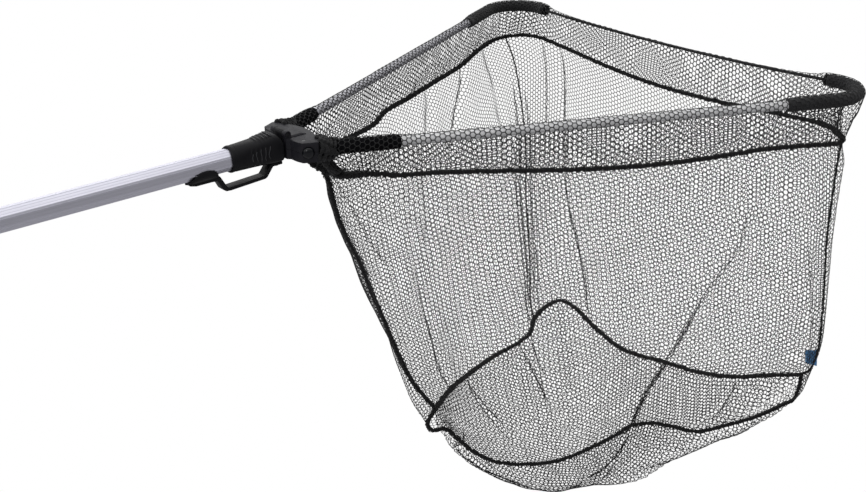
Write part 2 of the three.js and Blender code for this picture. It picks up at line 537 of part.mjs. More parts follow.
add(head, 'net_panel_front', sheet(wall(bandFront, footFront, rightLow, leftLow, 10, rows, [8, 0, 0], 0.012, [0.012, 0.985]), NET_T), netting());
{
  // bottom panel: from the three foot seams down to the belly
  const rim = [];
  for (let j = 0; j < 12; j++) rim.push(footRight.getPointAt(j / 12));
  for (let j = 0; j < 12; j++) rim.push(footFront.getPointAt(j / 12));
  for (let j = 0; j < 12; j++) rim.push(footLeft.getPointAt(1 - j / 12));
  const c = V3(...BELLY);
  const ringsN = 6;
  const outer = [], inner = [];
  const pos = [];
  const idx = [];
  const n = rim.length;
  for (const off of [0, NET_T]) {
    for (let i = 0; i < ringsN; i++) {
      const t = i / ringsN;
      for (const p of rim) {
        const drop = Math.pow(Math.sin(t * Math.PI / 2), 0.82);
        const reach = 1 - Math.pow(t, 1.55);
        const x = lerp(c.x, p.x, reach), y = lerp(c.y, p.y, reach), z = lerp(p.z - 3.2, c.z, drop);
        // inner skin sits inside and above the outer one
        const rx = x - c.x, ry = y - c.y, r = Math.hypot(rx, ry) || 1;
        const k = off * (1 - 0.65 * t);
        pos.push(x - rx / r * k, y - ry / r * k, z + off * (0.15 + 0.85 * t));
      }
    }
    pos.push(c.x, c.y, c.z + off);
  }
  const per = ringsN * n + 1;
  for (const s of [0, 1]) {
    const o = s * per;
    for (let i = 0; i < ringsN - 1; i++) for (let j = 0; j < n; j++) {
      const a = o + i * n + j, b = o + i * n + (j + 1) % n, d = a + n, e = b + n;
      if (s) idx.push(a, b, e, a, e, d); else idx.push(a, e, b, a, d, e);
    }
    for (let j = 0; j < n; j++) {
      const a = o + (ringsN - 1) * n + j, b = o + (ringsN - 1) * n + (j + 1) % n, d = o + per - 1;
      if (s) idx.push(a, b, d); else idx.push(a, d, b);
    }
  }
  for (let j = 0; j < n; j++) {
    const a = j, b = (j + 1) % n, d = per + j, e = per + (j + 1) % n;
    idx.push(a, b, e, a, e, d);
  }
  const g = new THREE.BufferGeometry();
  g.setAttribute('position', new THREE.BufferAttribute(new Float32Array(pos), 3));
  g.setIndex(idx);
  const s = toSolid(g);
  if (s.volume() < 0) { const r = g.index.array; for (let i = 0; i < r.length; i += 3) { const q = r[i]; r[i] = r[i + 1]; r[i + 1] = q; } }
  add(head, 'net_bottom', g, netting());
}

// small sewn-in tag, lying inside the bag beside the right-hand corner seam
{
  const at = cornerRight.getPointAt(0.845);
  const g = prism([[1.6, -10.5], [15, -8.5], [17, 8.5], [3.4, 10.5]], -0.6, 0.6);   // (inwards, up)
  const out = V3(-0.5, 0.866, 0).normalize(), up = V3(0, 0, 1);
  g.applyMatrix4(new THREE.Matrix4().makeBasis(out, up, new THREE.Vector3().crossVectors(out, up)).setPosition(at));
  add(head, 'net_tag', toGeometry(toSolid(g)), mat(0x1d3f66, 0.7));
}

export default root;
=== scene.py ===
import math
import bpy
import bmesh
import numpy as np
from mathutils import Matrix, Vector


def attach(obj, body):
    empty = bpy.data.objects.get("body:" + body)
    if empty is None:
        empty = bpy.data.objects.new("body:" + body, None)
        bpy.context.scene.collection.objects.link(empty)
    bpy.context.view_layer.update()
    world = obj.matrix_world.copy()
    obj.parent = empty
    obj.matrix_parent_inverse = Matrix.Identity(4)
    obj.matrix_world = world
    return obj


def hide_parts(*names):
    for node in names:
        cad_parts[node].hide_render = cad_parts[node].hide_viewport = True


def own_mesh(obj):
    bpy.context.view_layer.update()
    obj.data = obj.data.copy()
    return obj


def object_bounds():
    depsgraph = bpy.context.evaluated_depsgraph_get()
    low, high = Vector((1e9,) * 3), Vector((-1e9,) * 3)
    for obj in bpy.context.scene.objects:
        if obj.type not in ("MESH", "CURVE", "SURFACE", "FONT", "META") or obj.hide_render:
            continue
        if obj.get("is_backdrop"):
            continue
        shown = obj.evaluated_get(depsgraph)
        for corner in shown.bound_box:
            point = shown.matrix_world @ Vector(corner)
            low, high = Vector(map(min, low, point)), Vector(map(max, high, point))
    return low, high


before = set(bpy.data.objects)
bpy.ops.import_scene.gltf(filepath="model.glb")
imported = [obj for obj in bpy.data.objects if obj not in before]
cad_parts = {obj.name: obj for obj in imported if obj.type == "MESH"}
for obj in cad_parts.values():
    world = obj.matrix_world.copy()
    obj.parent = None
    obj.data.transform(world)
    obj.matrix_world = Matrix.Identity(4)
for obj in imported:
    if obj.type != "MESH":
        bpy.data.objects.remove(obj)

cad_box = [list(c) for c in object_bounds()]
rng = np.random.default_rng(7)

# Shapes below are written in millimetres from the arm pivots, as the CAD source has them; row() gives the row frame.
PIVOT_X, PIVOT_Y = 670.0, 27.9
ARM = math.radians(26.2)
ARM_STRAIGHT, BEND_R, BEND, ARM_END = 590.0, 42.6, math.radians(128.8), 6.0


def row(p):
    p = np.asarray(p, float) * 0.001
    return p + np.array([PIVOT_X * 0.001, 0, 0])


# ------------------------------------------------------------------ camera
def make_camera():
    yaw, pitch, roll = math.radians(38.8), math.radians(24.2), math.radians(-1.07)
    at = row([-636.95, -1023.86, 419.92])
    fwd = Vector((math.sin(yaw) * math.cos(pitch), math.cos(yaw) * math.cos(pitch), -math.sin(pitch)))
    right = Vector((math.cos(yaw), -math.sin(yaw), 0))
    up = right.cross(fwd)
    r2 = right * math.cos(roll) + up * math.sin(roll)
    u2 = up * math.cos(roll) - right * math.sin(roll)
    data = bpy.data.cameras.new("camera")
    data.lens, data.sensor_width, data.sensor_fit = 51.427, 36.0, "HORIZONTAL"
    data.clip_start, data.clip_end = 0.01, 200
    cam = bpy.data.objects.new("camera", data)
    m = Matrix((r2, u2, -fwd)).transposed().to_4x4()
    m.translation = Vector(at)
    cam.matrix_world = m
    bpy.context.scene.collection.objects.link(cam)
    bpy.context.scene.camera = cam


make_camera()


# ------------------------------------------------------------------ node helpers
def new_material(name, colour, rough=0.5, metal=0.0, **sockets):
    m = bpy.data.materials.new(name)
    m.use_nodes = True
    nt = m.node_tree
    b = nt.nodes["Principled BSDF"]
    b.inputs["Base Color"].default_value = (*colour, 1)
    b.inputs["Roughness"].default_value = rough
    b.inputs["Metallic"].default_value = metal
    for k, v in sockets.items():
        b.inputs[k.replace("_", " ")].default_value = v
    m.diffuse_color = (*colour, 1)
    return m, nt, b


def node(nt, kind, **values):
    n = nt.nodes.new(kind)
    for k, v in values.items():
        if hasattr(n, k):
            setattr(n, k, v)
        else:
            n.inputs[k.replace("_", " ")].default_value = v
    return n


def coords(nt, scale=(1, 1, 1), turn=(0, 0, 0)):
    c = nt.nodes.new("ShaderNodeTexCoord")
    m = nt.nodes.new("ShaderNodeMapping")
    m.inputs["Scale"].default_value = scale
    m.inputs["Rotation"].default_value = turn
    nt.links.new(c.outputs["Object"], m.inputs["Vector"])
    return m.outputs["Vector"]


def ramp(nt, fac, stops):
    r = nt.nodes.new("ShaderNodeValToRGB")
    e = r.color_ramp.elements
    while len(e) < len(stops):
        e.new(0.5)
    for i, (p, c) in enumerate(stops):
        e[i].position = p
        e[i].color = (*c, 1) if hasattr(c, "__len__") else (c, c, c, 1)
    nt.links.new(fac, r.inputs["Fac"])
    return r.outputs["Color"]


def noise(nt, vec, scale, detail=3.0, rough=0.6, distortion=0.0):
    n = node(nt, "ShaderNodeTexNoise")
    n.inputs["Scale"].default_value = scale
    n.inputs["Detail"].default_value = detail
    n.inputs["Roughness"].default_value = rough
    n.inputs["Distortion"].default_value = distortion
    nt.links.new(vec, n.inputs["Vector"])
    return n.outputs["Fac"]


def bump(nt, b, height, strength, distance, normal=None):
    n = node(nt, "ShaderNodeBump")
    n.inputs["Strength"].default_value = strength
    n.inputs["Distance"].default_value = distance
    nt.links.new(height, n.inputs["Height"])
    if normal is not None:
        nt.links.new(normal, n.inputs["Normal"])
    if b is not None:
        nt.links.new(n.outputs["Normal"], b.inputs["Normal"])
    return n.outputs["Normal"]


def maths(nt, op, a, b=None):
    n = node(nt, "ShaderNodeMath", operation=op)
    for i, v in enumerate((a, b)):
        if v is None:
            continue
        if isinstance(v, (int, float)):
            n.inputs[i].default_value = v
        else:
            nt.links.new(v, n.inputs[i])
    return n.outputs[0]


# ------------------------------------------------------------------ materials
def metal_material(name, colour, rough, along, streak=0.05, metal=1.0):
    """Satin anodised tube: fine drawing lines along the tube, soft blotches and a few rubbed spots."""
    m, nt, b = new_material(name, colour, rough, metal)
    lines = noise(nt, coords(nt, (4, 900, 900), (0, 0, along)), 1.0, 2.0, 0.7)
    blotch = noise(nt, coords(nt, (22, 60, 60), (0, 0, along)), 1.0, 3.0, 0.6)
    lo = tuple(c * (1 - streak) for c in colour)
    hi = tuple(min(1, c * (1 + streak)) for c in colour)
    nt.links.new(ramp(nt, lines, [(0.3, lo), (0.7, hi)]), b.inputs["Base Color"])
    r = ramp(nt, blotch, [(0.3, rough * 0.85), (0.75, rough * 1.18)])
    nt.links.new(r, b.inputs["Roughness"])
    bump(nt, b, lines, 0.10, 0.0004)
    return m


def plastic_material(name, colour, rough, grain=2600, depth=0.00008, spread=0.25, coat=0.0, strength=0.5, shine=0.5):
    """Moulded plastic: fine mould texture, slightly paler where it is handled."""
    m, nt, b = new_material(name, colour, rough, 0.0, Coat_Weight=coat, Coat_Roughness=0.12, Specular_IOR_Level=shine)
    c = coords(nt)
    fine = noise(nt, c, grain, 2.0, 0.6)
    wear = noise(nt, c, 55, 4.0, 0.65, 0.4)
    nt.links.new(ramp(nt, wear, [(0.35, colour), (0.8, tuple(x * (1 + spread) + 0.004 for x in colour))]), b.inputs["Base Color"])
    nt.links.new(ramp(nt, wear, [(0.3, rough * 0.9), (0.8, min(1, rough * 1.2))]), b.inputs["Roughness"])
    bump(nt, b, fine, strength, depth)
    return m


def foam_material(name, colour, dusty=2.1, sheen=0.12, shine=0.24):
    """Closed-cell foam: matt, pebbled by its cells, dusty on the high spots."""
    m, nt, b = new_material(name, colour, 0.92, 0.0, Specular_IOR_Level=shine, Sheen_Weight=sheen, Sheen_Roughness=0.6)
    c = coords(nt)
    cells = node(nt, "ShaderNodeTexVoronoi", feature="F1")
    cells.inputs["Scale"].default_value = 950
    nt.links.new(c, cells.inputs["Vector"])
    rough = noise(nt, c, 420, 5.0, 0.7)
    mix = maths(nt, "ADD", maths(nt, "MULTIPLY", cells.outputs["Distance"], 0.7), rough)
    dust = noise(nt, c, 160, 5.0, 0.75)
    nt.links.new(ramp(nt, dust, [(0.35, colour), (0.75, tuple(x * dusty + 0.0015 for x in colour))]), b.inputs["Base Color"])
    nt.links.new(ramp(nt, rough, [(0.2, 0.82), (0.8, 1.0)]), b.inputs["Roughness"])
    bump(nt, b, mix, 0.9, 0.0006)
    return m


def thread_material(name, colour, turns=1500, rough=0.75, depth=0.0002, vary=True):
    """Twisted or braided thread: slanting plies, a little fuzz."""
    m, nt, b = new_material(name, colour, rough, 0.0, Specular_IOR_Level=0.4, Sheen_Weight=0.08, Sheen_Roughness=0.5)
    c = coords(nt)
    w = node(nt, "ShaderNodeTexWave", wave_type="BANDS", bands_direction="DIAGONAL")
    w.inputs["Scale"].default_value = turns / 6.28
    w.inputs["Distortion"].default_value = 1.5
    w.inputs["Detail"].default_value = 2
    nt.links.new(c, w.inputs["Vector"])
    fuzz = noise(nt, c, 1800, 3.0, 0.7)
    if vary:
        nt.links.new(ramp(nt, maths(nt, "MULTIPLY", w.outputs["Fac"], fuzz), [(0.1, colour), (0.7, tuple(x * 2.2 + 0.004 for x in colour))]), b.inputs["Base Color"])
    bump(nt, b, maths(nt, "ADD", w.outputs["Fac"], fuzz), 0.8, depth)
    return m


SILVER = metal_material("silver_tube", (0.79, 0.785, 0.885), 0.33, 0.0)
# The two arm tubes are one aluminium. Their copies get a paler colour and lower metallic as painted light so they read
# brighter, and the near (right) arm is painted lighter than the far (left) arm.
SILVER_R_PAINTED_LIT = metal_material("silver_arm_right_painted_lit", (0.97, 0.97, 1.0), 0.38, ARM, metal=0.22)
SILVER_L_PAINTED_LIT = metal_material("silver_arm_left_painted_lit", (0.90, 0.90, 0.97), 0.38, -ARM, metal=0.50)
GREY = metal_material("grey_tube", (0.30, 0.31, 0.33), 0.32, 0.0)
STEEL = metal_material("steel", (0.62, 0.62, 0.63), 0.24, 0.0, 0.12)
DARK_STEEL = metal_material("blacked_steel", (0.10, 0.10, 0.105), 0.42, 0.0, 0.15)
BLACK = plastic_material("black_plastic", (0.0068, 0.0066, 0.0085), 0.46, shine=0.18)
# Paler plastic for the collar's raised ribs: a painted highlight along the ribs.
RIB_PAINTED_HIGHLIGHT = plastic_material("rib_painted_highlight", (0.050, 0.050, 0.056), 0.38, shine=0.5)
CHARCOAL = plastic_material("charcoal_plastic", (0.0140, 0.0134, 0.0180), 0.46, 1900, 0.00012, shine=0.24)
GLOSS = plastic_material("gloss_black", (0.0022, 0.0028, 0.0055), 0.10, 900, 0.00002, 0.1, 0.25, 0.2, 0.3)
FOAM = foam_material("arm_foam", (0.0030, 0.0030, 0.0038), 1.8, 0.0, 0.08)
TIP_FOAM = foam_material("tip_foam", (0.015, 0.015, 0.0165), 2.6, 0.16)
GRIP = foam_material("grip_foam", (0.016, 0.016, 0.017))
NETTING = thread_material("netting", (0.009, 0.009, 0.010), 2600, 0.62, 0.00006, False)
SEAM = thread_material("seam_thread", (0.0055, 0.0055, 0.0062), 1500, 0.82)
CORD = thread_material("cord_braid", (0.008, 0.008, 0.009), 1900, 0.7)


def tag_material():
    m, nt, b = new_material("tag_weave", (0.012, 0.07, 0.19), 0.6, 0.0, Sheen_Weight=0.25, Sheen_Roughness=0.4)
    c = coords(nt)
    w1 = node(nt, "ShaderNodeTexWave", wave_type="BANDS", bands_direction="Z")
    w2 = node(nt, "ShaderNodeTexWave", wave_type="BANDS", bands_direction="Y")
    for w in (w1, w2):
        w.inputs["Scale"].default_value = 420
        nt.links.new(c, w.inputs["Vector"])
    weave = maths(nt, "MULTIPLY", w1.outputs["Fac"], w2.outputs["Fac"])
    fade = noise(nt, c, 300, 3)
    nt.links.new(ramp(nt, maths(nt, "MULTIPLY", weave, fade), [(0.0, (0.10, 0.30, 0.62)), (0.6, (0.22, 0.52, 0.90))]), b.inputs["Base Color"])
    bump(nt, b, weave, 0.7, 0.0002)
    return m


TAG = tag_material()


# ------------------------------------------------------------------ mesh helpers
def make(name, verts, faces, mat, smooth=True, mm=True, signed=True):
    """A mesh object from points in mm and faces, an (n, 3) or (n, 4) array or a list of lists."""
    verts = row(verts) if mm else np.asarray(verts, float)
    me = bpy.data.meshes.new(name)
    if isinstance(faces, np.ndarray):
        k = faces.shape[1]
        if signed:                     # all faces look outwards
            a, b, c = verts[faces[:, 0]], verts[faces[:, 1]], verts[faces[:, 2]]
            vol = (a * np.cross(b, c)).sum()
            if k == 4:
                vol += (a * np.cross(c, verts[faces[:, 3]])).sum()
            if vol < 0:
                faces = faces[:, ::-1]
        me.vertices.add(len(verts))
        me.vertices.foreach_set("co", verts.astype(np.float32).ravel())
        me.loops.add(faces.size)
        me.loops.foreach_set("vertex_index", faces.astype(np.int32).ravel())
        me.polygons.add(len(faces))
        me.polygons.foreach_set("loop_start", np.arange(0, faces.size, k, dtype=np.int32))
        me.update(calc_edges=True)
    else:
        me.from_pydata([tuple(v) for v in verts], [], faces)
        bm = bmesh.new()
        bm.from_mesh(me)
        bmesh.ops.recalc_face_normals(bm, faces=bm.faces)
        bm.to_mesh(me)
        bm.free()
    if smooth:
        me.polygons.foreach_set("use_smooth", np.ones(len(me.polygons), bool))
    me.materials.append(mat)
    o = bpy.data.objects.new(name, me)
    bpy.context.scene.collection.objects.link(o)
    return o


def join_parts(parts):
    """(verts, quads) pairs into one."""
    V, F, n = [], [], 0
    for v, f in parts:
        V.append(v)
        F.append(f + n)
        n += len(v)
    return np.vstack(V), np.vstack(F)


def frames_along(P, hint=(0, 0, 1)):
    """Tangent, side and up at each point of a line, carried along without twisting."""
    T = np.gradient(P, axis=0)
    T /= np.linalg.norm(T, axis=1, keepdims=True) + 1e-12
    U = np.zeros_like(P)
    u = np.array(hint, float)
    for i in range(len(P)):
        u = u - T[i] * (u @ T[i])
        u /= np.linalg.norm(u) + 1e-12
        U[i] = u
    S = np.cross(T, U)
    return T, S, U


def tube(P, ra, rb=None, n=12, hint=(0, 0, 1), side=None, caps=True):
    """A closed tube of quads along P. ra and rb are half sizes sideways and upwards, numbers or one per point (or per point and angle)."""
    P = np.asarray(P, float)
    T, S, U = frames_along(P, hint)
    if side is not None:
        S = side - T * (side * T).sum(1, keepdims=True)
        S /= np.linalg.norm(S, axis=1, keepdims=True) + 1e-12
        U = np.cross(S, T)
    rb = ra if rb is None else rb
    m = len(P)
    a = np.arange(n) * 2 * np.pi / n

    def full(r):
        r = np.asarray(r, float)
        if r.ndim == 0:
            return np.full((m, n), float(r))
        return np.repeat(r[:, None], n, 1) if r.ndim == 1 else r
    ra, rb = full(ra), full(rb)
    V = P[:, None] + S[:, None] * (ra * np.cos(a))[..., None] + U[:, None] * (rb * np.sin(a))[..., None]
    V = V.reshape(-1, 3)
    i, j = np.meshgrid(np.arange(m - 1), np.arange(n), indexing="ij")
    k = (j + 1) % n
    F = np.stack([i * n + j, i * n + k, (i + 1) * n + k, (i + 1) * n + j], -1).reshape(-1, 4)
    if caps and n % 2 == 0:
        c = []
        for base in (0, (m - 1) * n):
            for q in range(n // 2 - 1):
                f = [base + q, base + n - 1 - q, base + n - 2 - q, base + q + 1]
                c.append(f if base == 0 else f[::-1])
        # the strip cap: q .. n-1-q
        F = np.vstack([F, np.array(c)])
    return V, F


def smooth_noise(x, seed, octaves=((1.0, 1.0),)):
    """Repeatable soft noise of a number or of rows of numbers, about -1 to 1."""
    r = np.random.default_rng(seed)
    x = np.asarray(x, float)
    if x.ndim == 0 or x.shape[-1] not in (2, 3) or x.ndim == 1:
        x = x[..., None]
    out = 0
    for freq, amp in octaves:
        for _ in range(5):
            d = r.normal(size=x.shape[-1])
            d = d / (np.linalg.norm(d) + 1e-9) * freq * r.uniform(0.6, 1.4) if x.shape[-1] > 1 else np.array([freq * r.uniform(0.6, 1.6)])
            out = out + amp * np.sin((x * d).sum(-1) * 2 * np.pi + r.uniform(0, 6.28)) / 5 * 1.6
    return out


def rounded(nodes, name, mat, width=0.0006, segments=3, angle=32):
    """A softened copy of CAD solids: flat faces merged, edges rounded. It replaces them."""
    bm = bmesh.new()
    for nm in nodes:
        bm.from_mesh(frame_node(nm).data)
    bmesh.ops.remove_doubles(bm, verts=bm.verts, dist=2e-5)
    bmesh.ops.dissolve_limit(bm, angle_limit=math.radians(2.0), verts=bm.verts, edges=bm.edges)
    me = bpy.data.meshes.new(name)
    bm.to_mesh(me)
    bm.free()
    me.polygons.foreach_set("use_smooth", np.ones(len(me.polygons), bool))
    me.materials.clear()
    me.materials.append(mat)
    for p in me.polygons:
        p.material_index = 0
    o = bpy.data.objects.new(name, me)
    bpy.context.scene.collection.objects.link(o)
    b = o.modifiers.new("edges", "BEVEL")
    b.width, b.segments, b.limit_method, b.angle_limit = width, segments, "ANGLE", math.radians(angle)
    b.harden_normals = True
    b.use_clamp_overlap = True
    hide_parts(*nodes)
    return o


def frame_node(name):
    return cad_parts[name]


def ride(o, body, slot=None):
    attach(o, body)
    return o


# ------------------------------------------------------------------ bag shape
def spline(pts, n=24):
    """Smooth curve through pts (centripetal Catmull-Rom), as a dense line."""
    P = np.array(pts, float)
    t = np.r_[0, np.cumsum(np.sqrt(np.linalg.norm(np.diff(P, axis=0), axis=1)))]
    Pe = np.vstack([2 * P[0] - P[1], P, 2 * P[-1] - P[-2]])
    te = np.r_[t[0] - (t[1] - t[0]), t, t[-1] + (t[-1] - t[-2])]
    out = []
    for i in range(len(P) - 1):
        p0, p1, p2, p3 = Pe[i:i + 4]
        t0, t1, t2, t3 = te[i:i + 4]
        s = np.linspace(t1, t2, n, endpoint=False)[:, None]
        a1 = (t1 - s) / (t1 - t0) * p0 + (s - t0) / (t1 - t0) * p1
        a2 = (t2 - s) / (t2 - t1) * p1 + (s - t1) / (t2 - t1) * p2
        a3 = (t3 - s) / (t3 - t2) * p2 + (s - t2) / (t3 - t2) * p3
        b1 = (t2 - s) / (t2 - t0) * a1 + (s - t0) / (t2 - t0) * a2
        b2 = (t3 - s) / (t3 - t1) * a2 + (s - t1) / (t3 - t1) * a3
        out.append((t2 - s) / (t2 - t1) * b1 + (s - t1) / (t2 - t1) * b2)
    out.append(P[-1:])
    return np.vstack(out)


class Line:
    """A line in space, read by its share of length."""

    def __init__(self, pts, smooth=True):
        self.P = spline(pts) if smooth else np.array(pts, float)
        self.s = np.r_[0, np.cumsum(np.linalg.norm(np.diff(self.P, axis=0), axis=1))]
        self.L = self.s[-1]

    def at(self, t):
        s = np.clip(t, 0, 1) * self.L
        return np.stack([np.interp(s, self.s, self.P[:, k]) for k in range(3)], -1)


APEX = [31, 0, -30]
BAND_R = [APEX, [36, -12, -33.5], [41, -21, -37], [48, -32, -38], [61, -51, -34], [83, -72, -35.5], [116, -88, -36.5], [171, -115, -41], [247, -153, -48], [318, -188, -52], [399, -227, -51], [451, -254, -47], [504, -281, -47.5], [528, -293, -48.5], [536, -295, -49]]
BAND_L = [APEX, [44, 26, -32], [83, 68, -46], [142, 100, -54], [204, 130, -57], [226, 141, -51], [285, 170, -52.5], [364, 209, -54], [439, 246, -55], [500, 276, -49], [555, 304, -50], [577, 306, -50]]
BAND_F = [[536, -295, -49], [543, -292, -46.5], [550, -283, -45.5], [557, -276, -46.5], [570, -261.5, -48.6], [581, -240, -51], [585, -215, -52.5], [585, -197, -53.5], [585, -170, -55], [585, -125, -57.5], [585, -96, -60], [585, -17, -62], [585, 33, -61], [585, 88, -57], [585, 143, -51], [585, 184, -46], [585, 243, -40.5], [584, 275, -43], [577, 306, -50]]
CORNER_REAR = [APEX, [42, -2, -45], [49, -3, -80], [61, -4, -118], [79, -4, -158], [97, -3, -208], [110, -2, -240], [131, -1, -295], [151, -1, -340], [184, -1, -390]]
CORNER_RIGHT = [[536, -295, -49], [539, -292, -70], [542, -289, -111], [543, -288, -168], [545, -290, -220], [548, -291, -262], [551, -290, -317], [552, -282, -350], [556, -268, -366]]
CORNER_LEFT = [[577, 306, -50], [576, 286, -81], [571, 269, -115], [559, 244, -168], [549, 228, -208], [535, 213, -251], [524, 198, -289], [508, 173, -352], [492, 154, -401], [488, 142, -426]]
FOOT_R = [[184, -1, -390], [170, -3, -405], [176, -5, -416], [194, -8, -420], [211, -15, -440], [225, -24, -458], [247, -42, -474], [272, -64, -478], [306, -92, -474], [342, -116, -458], [366, -134, -441], [384, -148, -426], [408, -168, -424], [432, -186, -433], [450, -199, -438], [476, -221, -429], [505, -243, -418], [531, -259, -405], [546, -267, -398], [553, -268, -385], [556, -268, -366]]
FOOT_L = [[184, -1, -390], [251, 47, -408], [303, 79, -424], [351, 102, -434], [398, 118, -440], [430, 118, -437], [459, 121, -432], [488, 142, -426]]
FOOT_F = [[556, -268, -366], [550, -250, -372], [545, -228, -380], [541, -180, -402], [538, -126, -418], [533, -72, -424], [527, -1, -432], [539, 57, -431], [548, 90, -429], [559, 123, -427], [559, 158, -425], [526, 158, -425], [488, 142, -426]]
BELLY = np.array([392.0, -60.0, -563.0])


def front_bulge(u, v):
    """The front panel swells out past the near front corner seam."""
    k = 16 * u * (1 - u) * v * (1 - v)
    b = (u / 0.020) * np.exp(1 - u / 0.020)
    return 8 * k + 15 * b * smooth(v / 0.12) * smooth((1 - v) / 0.10)


def coons(top, bottom, a, b, u, v):
    T, B, A, D = top.at(u), bottom.at(u), a.at(v), b.at(v)
    c00, c10, c01, c11 = top.P[0], top.P[-1], bottom.P[0], bottom.P[-1]
    u, v = u[..., None], v[..., None]
    return ((1 - v) * T + v * B + (1 - u) * A + u * D
            - (1 - u) * (1 - v) * c00 - u * (1 - v) * c10 - (1 - u) * v * c01 - u * v * c11)


def smooth(x):
    x = np.clip(x, 0, 1)
    return x * x * (3 - 2 * x)


class Wall:
    """A hanging side panel. u runs along the top seam, v down. folds: lines of (u, v) with a width and a height."""

    def __init__(self, top, bottom, a, b, out, bulge, ridges=(), pleats=()):
        self.seams = [Line(x) for x in (top, bottom, a, b)]
        self.out = np.array(out, float)
        self.bulge = bulge
        self.ridges = [(np.array(l, float), w, h) for l, w, h in ridges]
        self.pleats = [(np.array(l, float), w, h) for l, w, h in pleats]
        g = np.linspace(0, 1, 61)
        U, V = np.meshgrid(g, g, indexing="ij")
        S = self.base(U, V)
        self.g = g
        self.W = np.linalg.norm(np.diff(S, axis=0), axis=-1).sum(0)      # width at each v
        self.H = np.linalg.norm(np.diff(S, axis=1), axis=-1).sum(1)      # height at each u

    def base(self, u, v):
        p = coons(*self.seams, u, v)
        k = 16 * u * (1 - u) * v * (1 - v)
        return p + self.out * (self.bulge(u, v) * 1.0)[..., None] if callable(self.bulge) else p + self.out * (self.bulge * k)[..., None]

    def normal(self, u, v):
        e = 2e-3
        du = self.base(np.clip(u + e, 0, 1), v) - self.base(np.clip(u - e, 0, 1), v)
        dv = self.base(u, np.clip(v + e, 0, 1)) - self.base(u, np.clip(v - e, 0, 1))
        n = np.cross(du, dv)
        n /= np.linalg.norm(n, axis=-1, keepdims=True) + 1e-12
        s = np.sign((n * self.out).sum(-1, keepdims=True))
        return n * np.where(s == 0, 1, s)

    def at(self, u, v, offset=0.0):
        n = self.normal(u, v)
        W = np.interp(v, self.g, self.W)
        h = np.zeros_like(u) + offset
        for line, w, amp in self.ridges:
            c = np.interp(v, line[:, 1], line[:, 0])
            k = smooth((v - line[0, 1]) / 0.06 + 0.5) * smooth((line[-1, 1] - v) / 0.06 + 0.5)
            h = h + amp * k * np.exp(-((u - c) * W / w) ** 2)
        return self.base(u, v) + n * h[..., None], n

    def flat(self, x, y):
        """From a point of the flat cut (mm, from the top middle) to (u, v) and its lift off the surface."""
        u = np.full_like(x, 0.5)
        v = np.clip(y / self.H.mean(), 0, 2)
        lift = np.zeros_like(x)
        for _ in range(5):
            H = np.interp(u, self.g, self.H)
            v = y / H
            vc = np.clip(v, 0, 1)
            W = np.interp(vc, self.g, self.W)
            extra = np.zeros_like(x)
            ws = []
            for line, w, amp in self.pleats:
                k = smooth((vc - line[0, 1]) / (0.3 * (line[-1, 1] - line[0, 1])))
                if line[-1, 1] < 0.99:
                    k = k * smooth((line[-1, 1] - vc) / (0.2 * (line[-1, 1] - line[0, 1])))
                wk = w * k
                ws.append((np.interp(vc, line[:, 1], line[:, 0]), wk, amp))
                extra = extra + 2 * wk
            X = x + 0.5 * (W + extra)
            shift = np.zeros_like(x)
            lift = np.zeros_like(x)
            folded = X.copy()
            for c, wk, amp in sorted(ws, key=lambda q: float(np.mean(q[0]))):
                d = X - (c * W + shift)
                folded = folded - np.clip(2 * d, 0, 2 * wk)
                q = np.clip(d / np.maximum(2 * wk, 1e-3), 0, 1)
                lift = lift + amp * smooth(q) * np.exp(-np.clip((d - 2 * wk) / 9.0, 0, None) ** 2) * np.clip(wk / 2.0, 0, 1)
                shift = shift + 2 * wk
            u = folded / W
        return u, v, lift


def belly_rim():
    """Closed rim of the bottom panel, from the rear corner round by the right and the front."""
    r, f, l = Line([FOOT_R[0], [190, -6, -404], [199, -11, -424]] + FOOT_R[4:]), Line(FOOT_F), Line(FOOT_L)
    return Line(np.vstack([r.P, f.P[1:], l.P[::-1][1:]]), smooth=False)


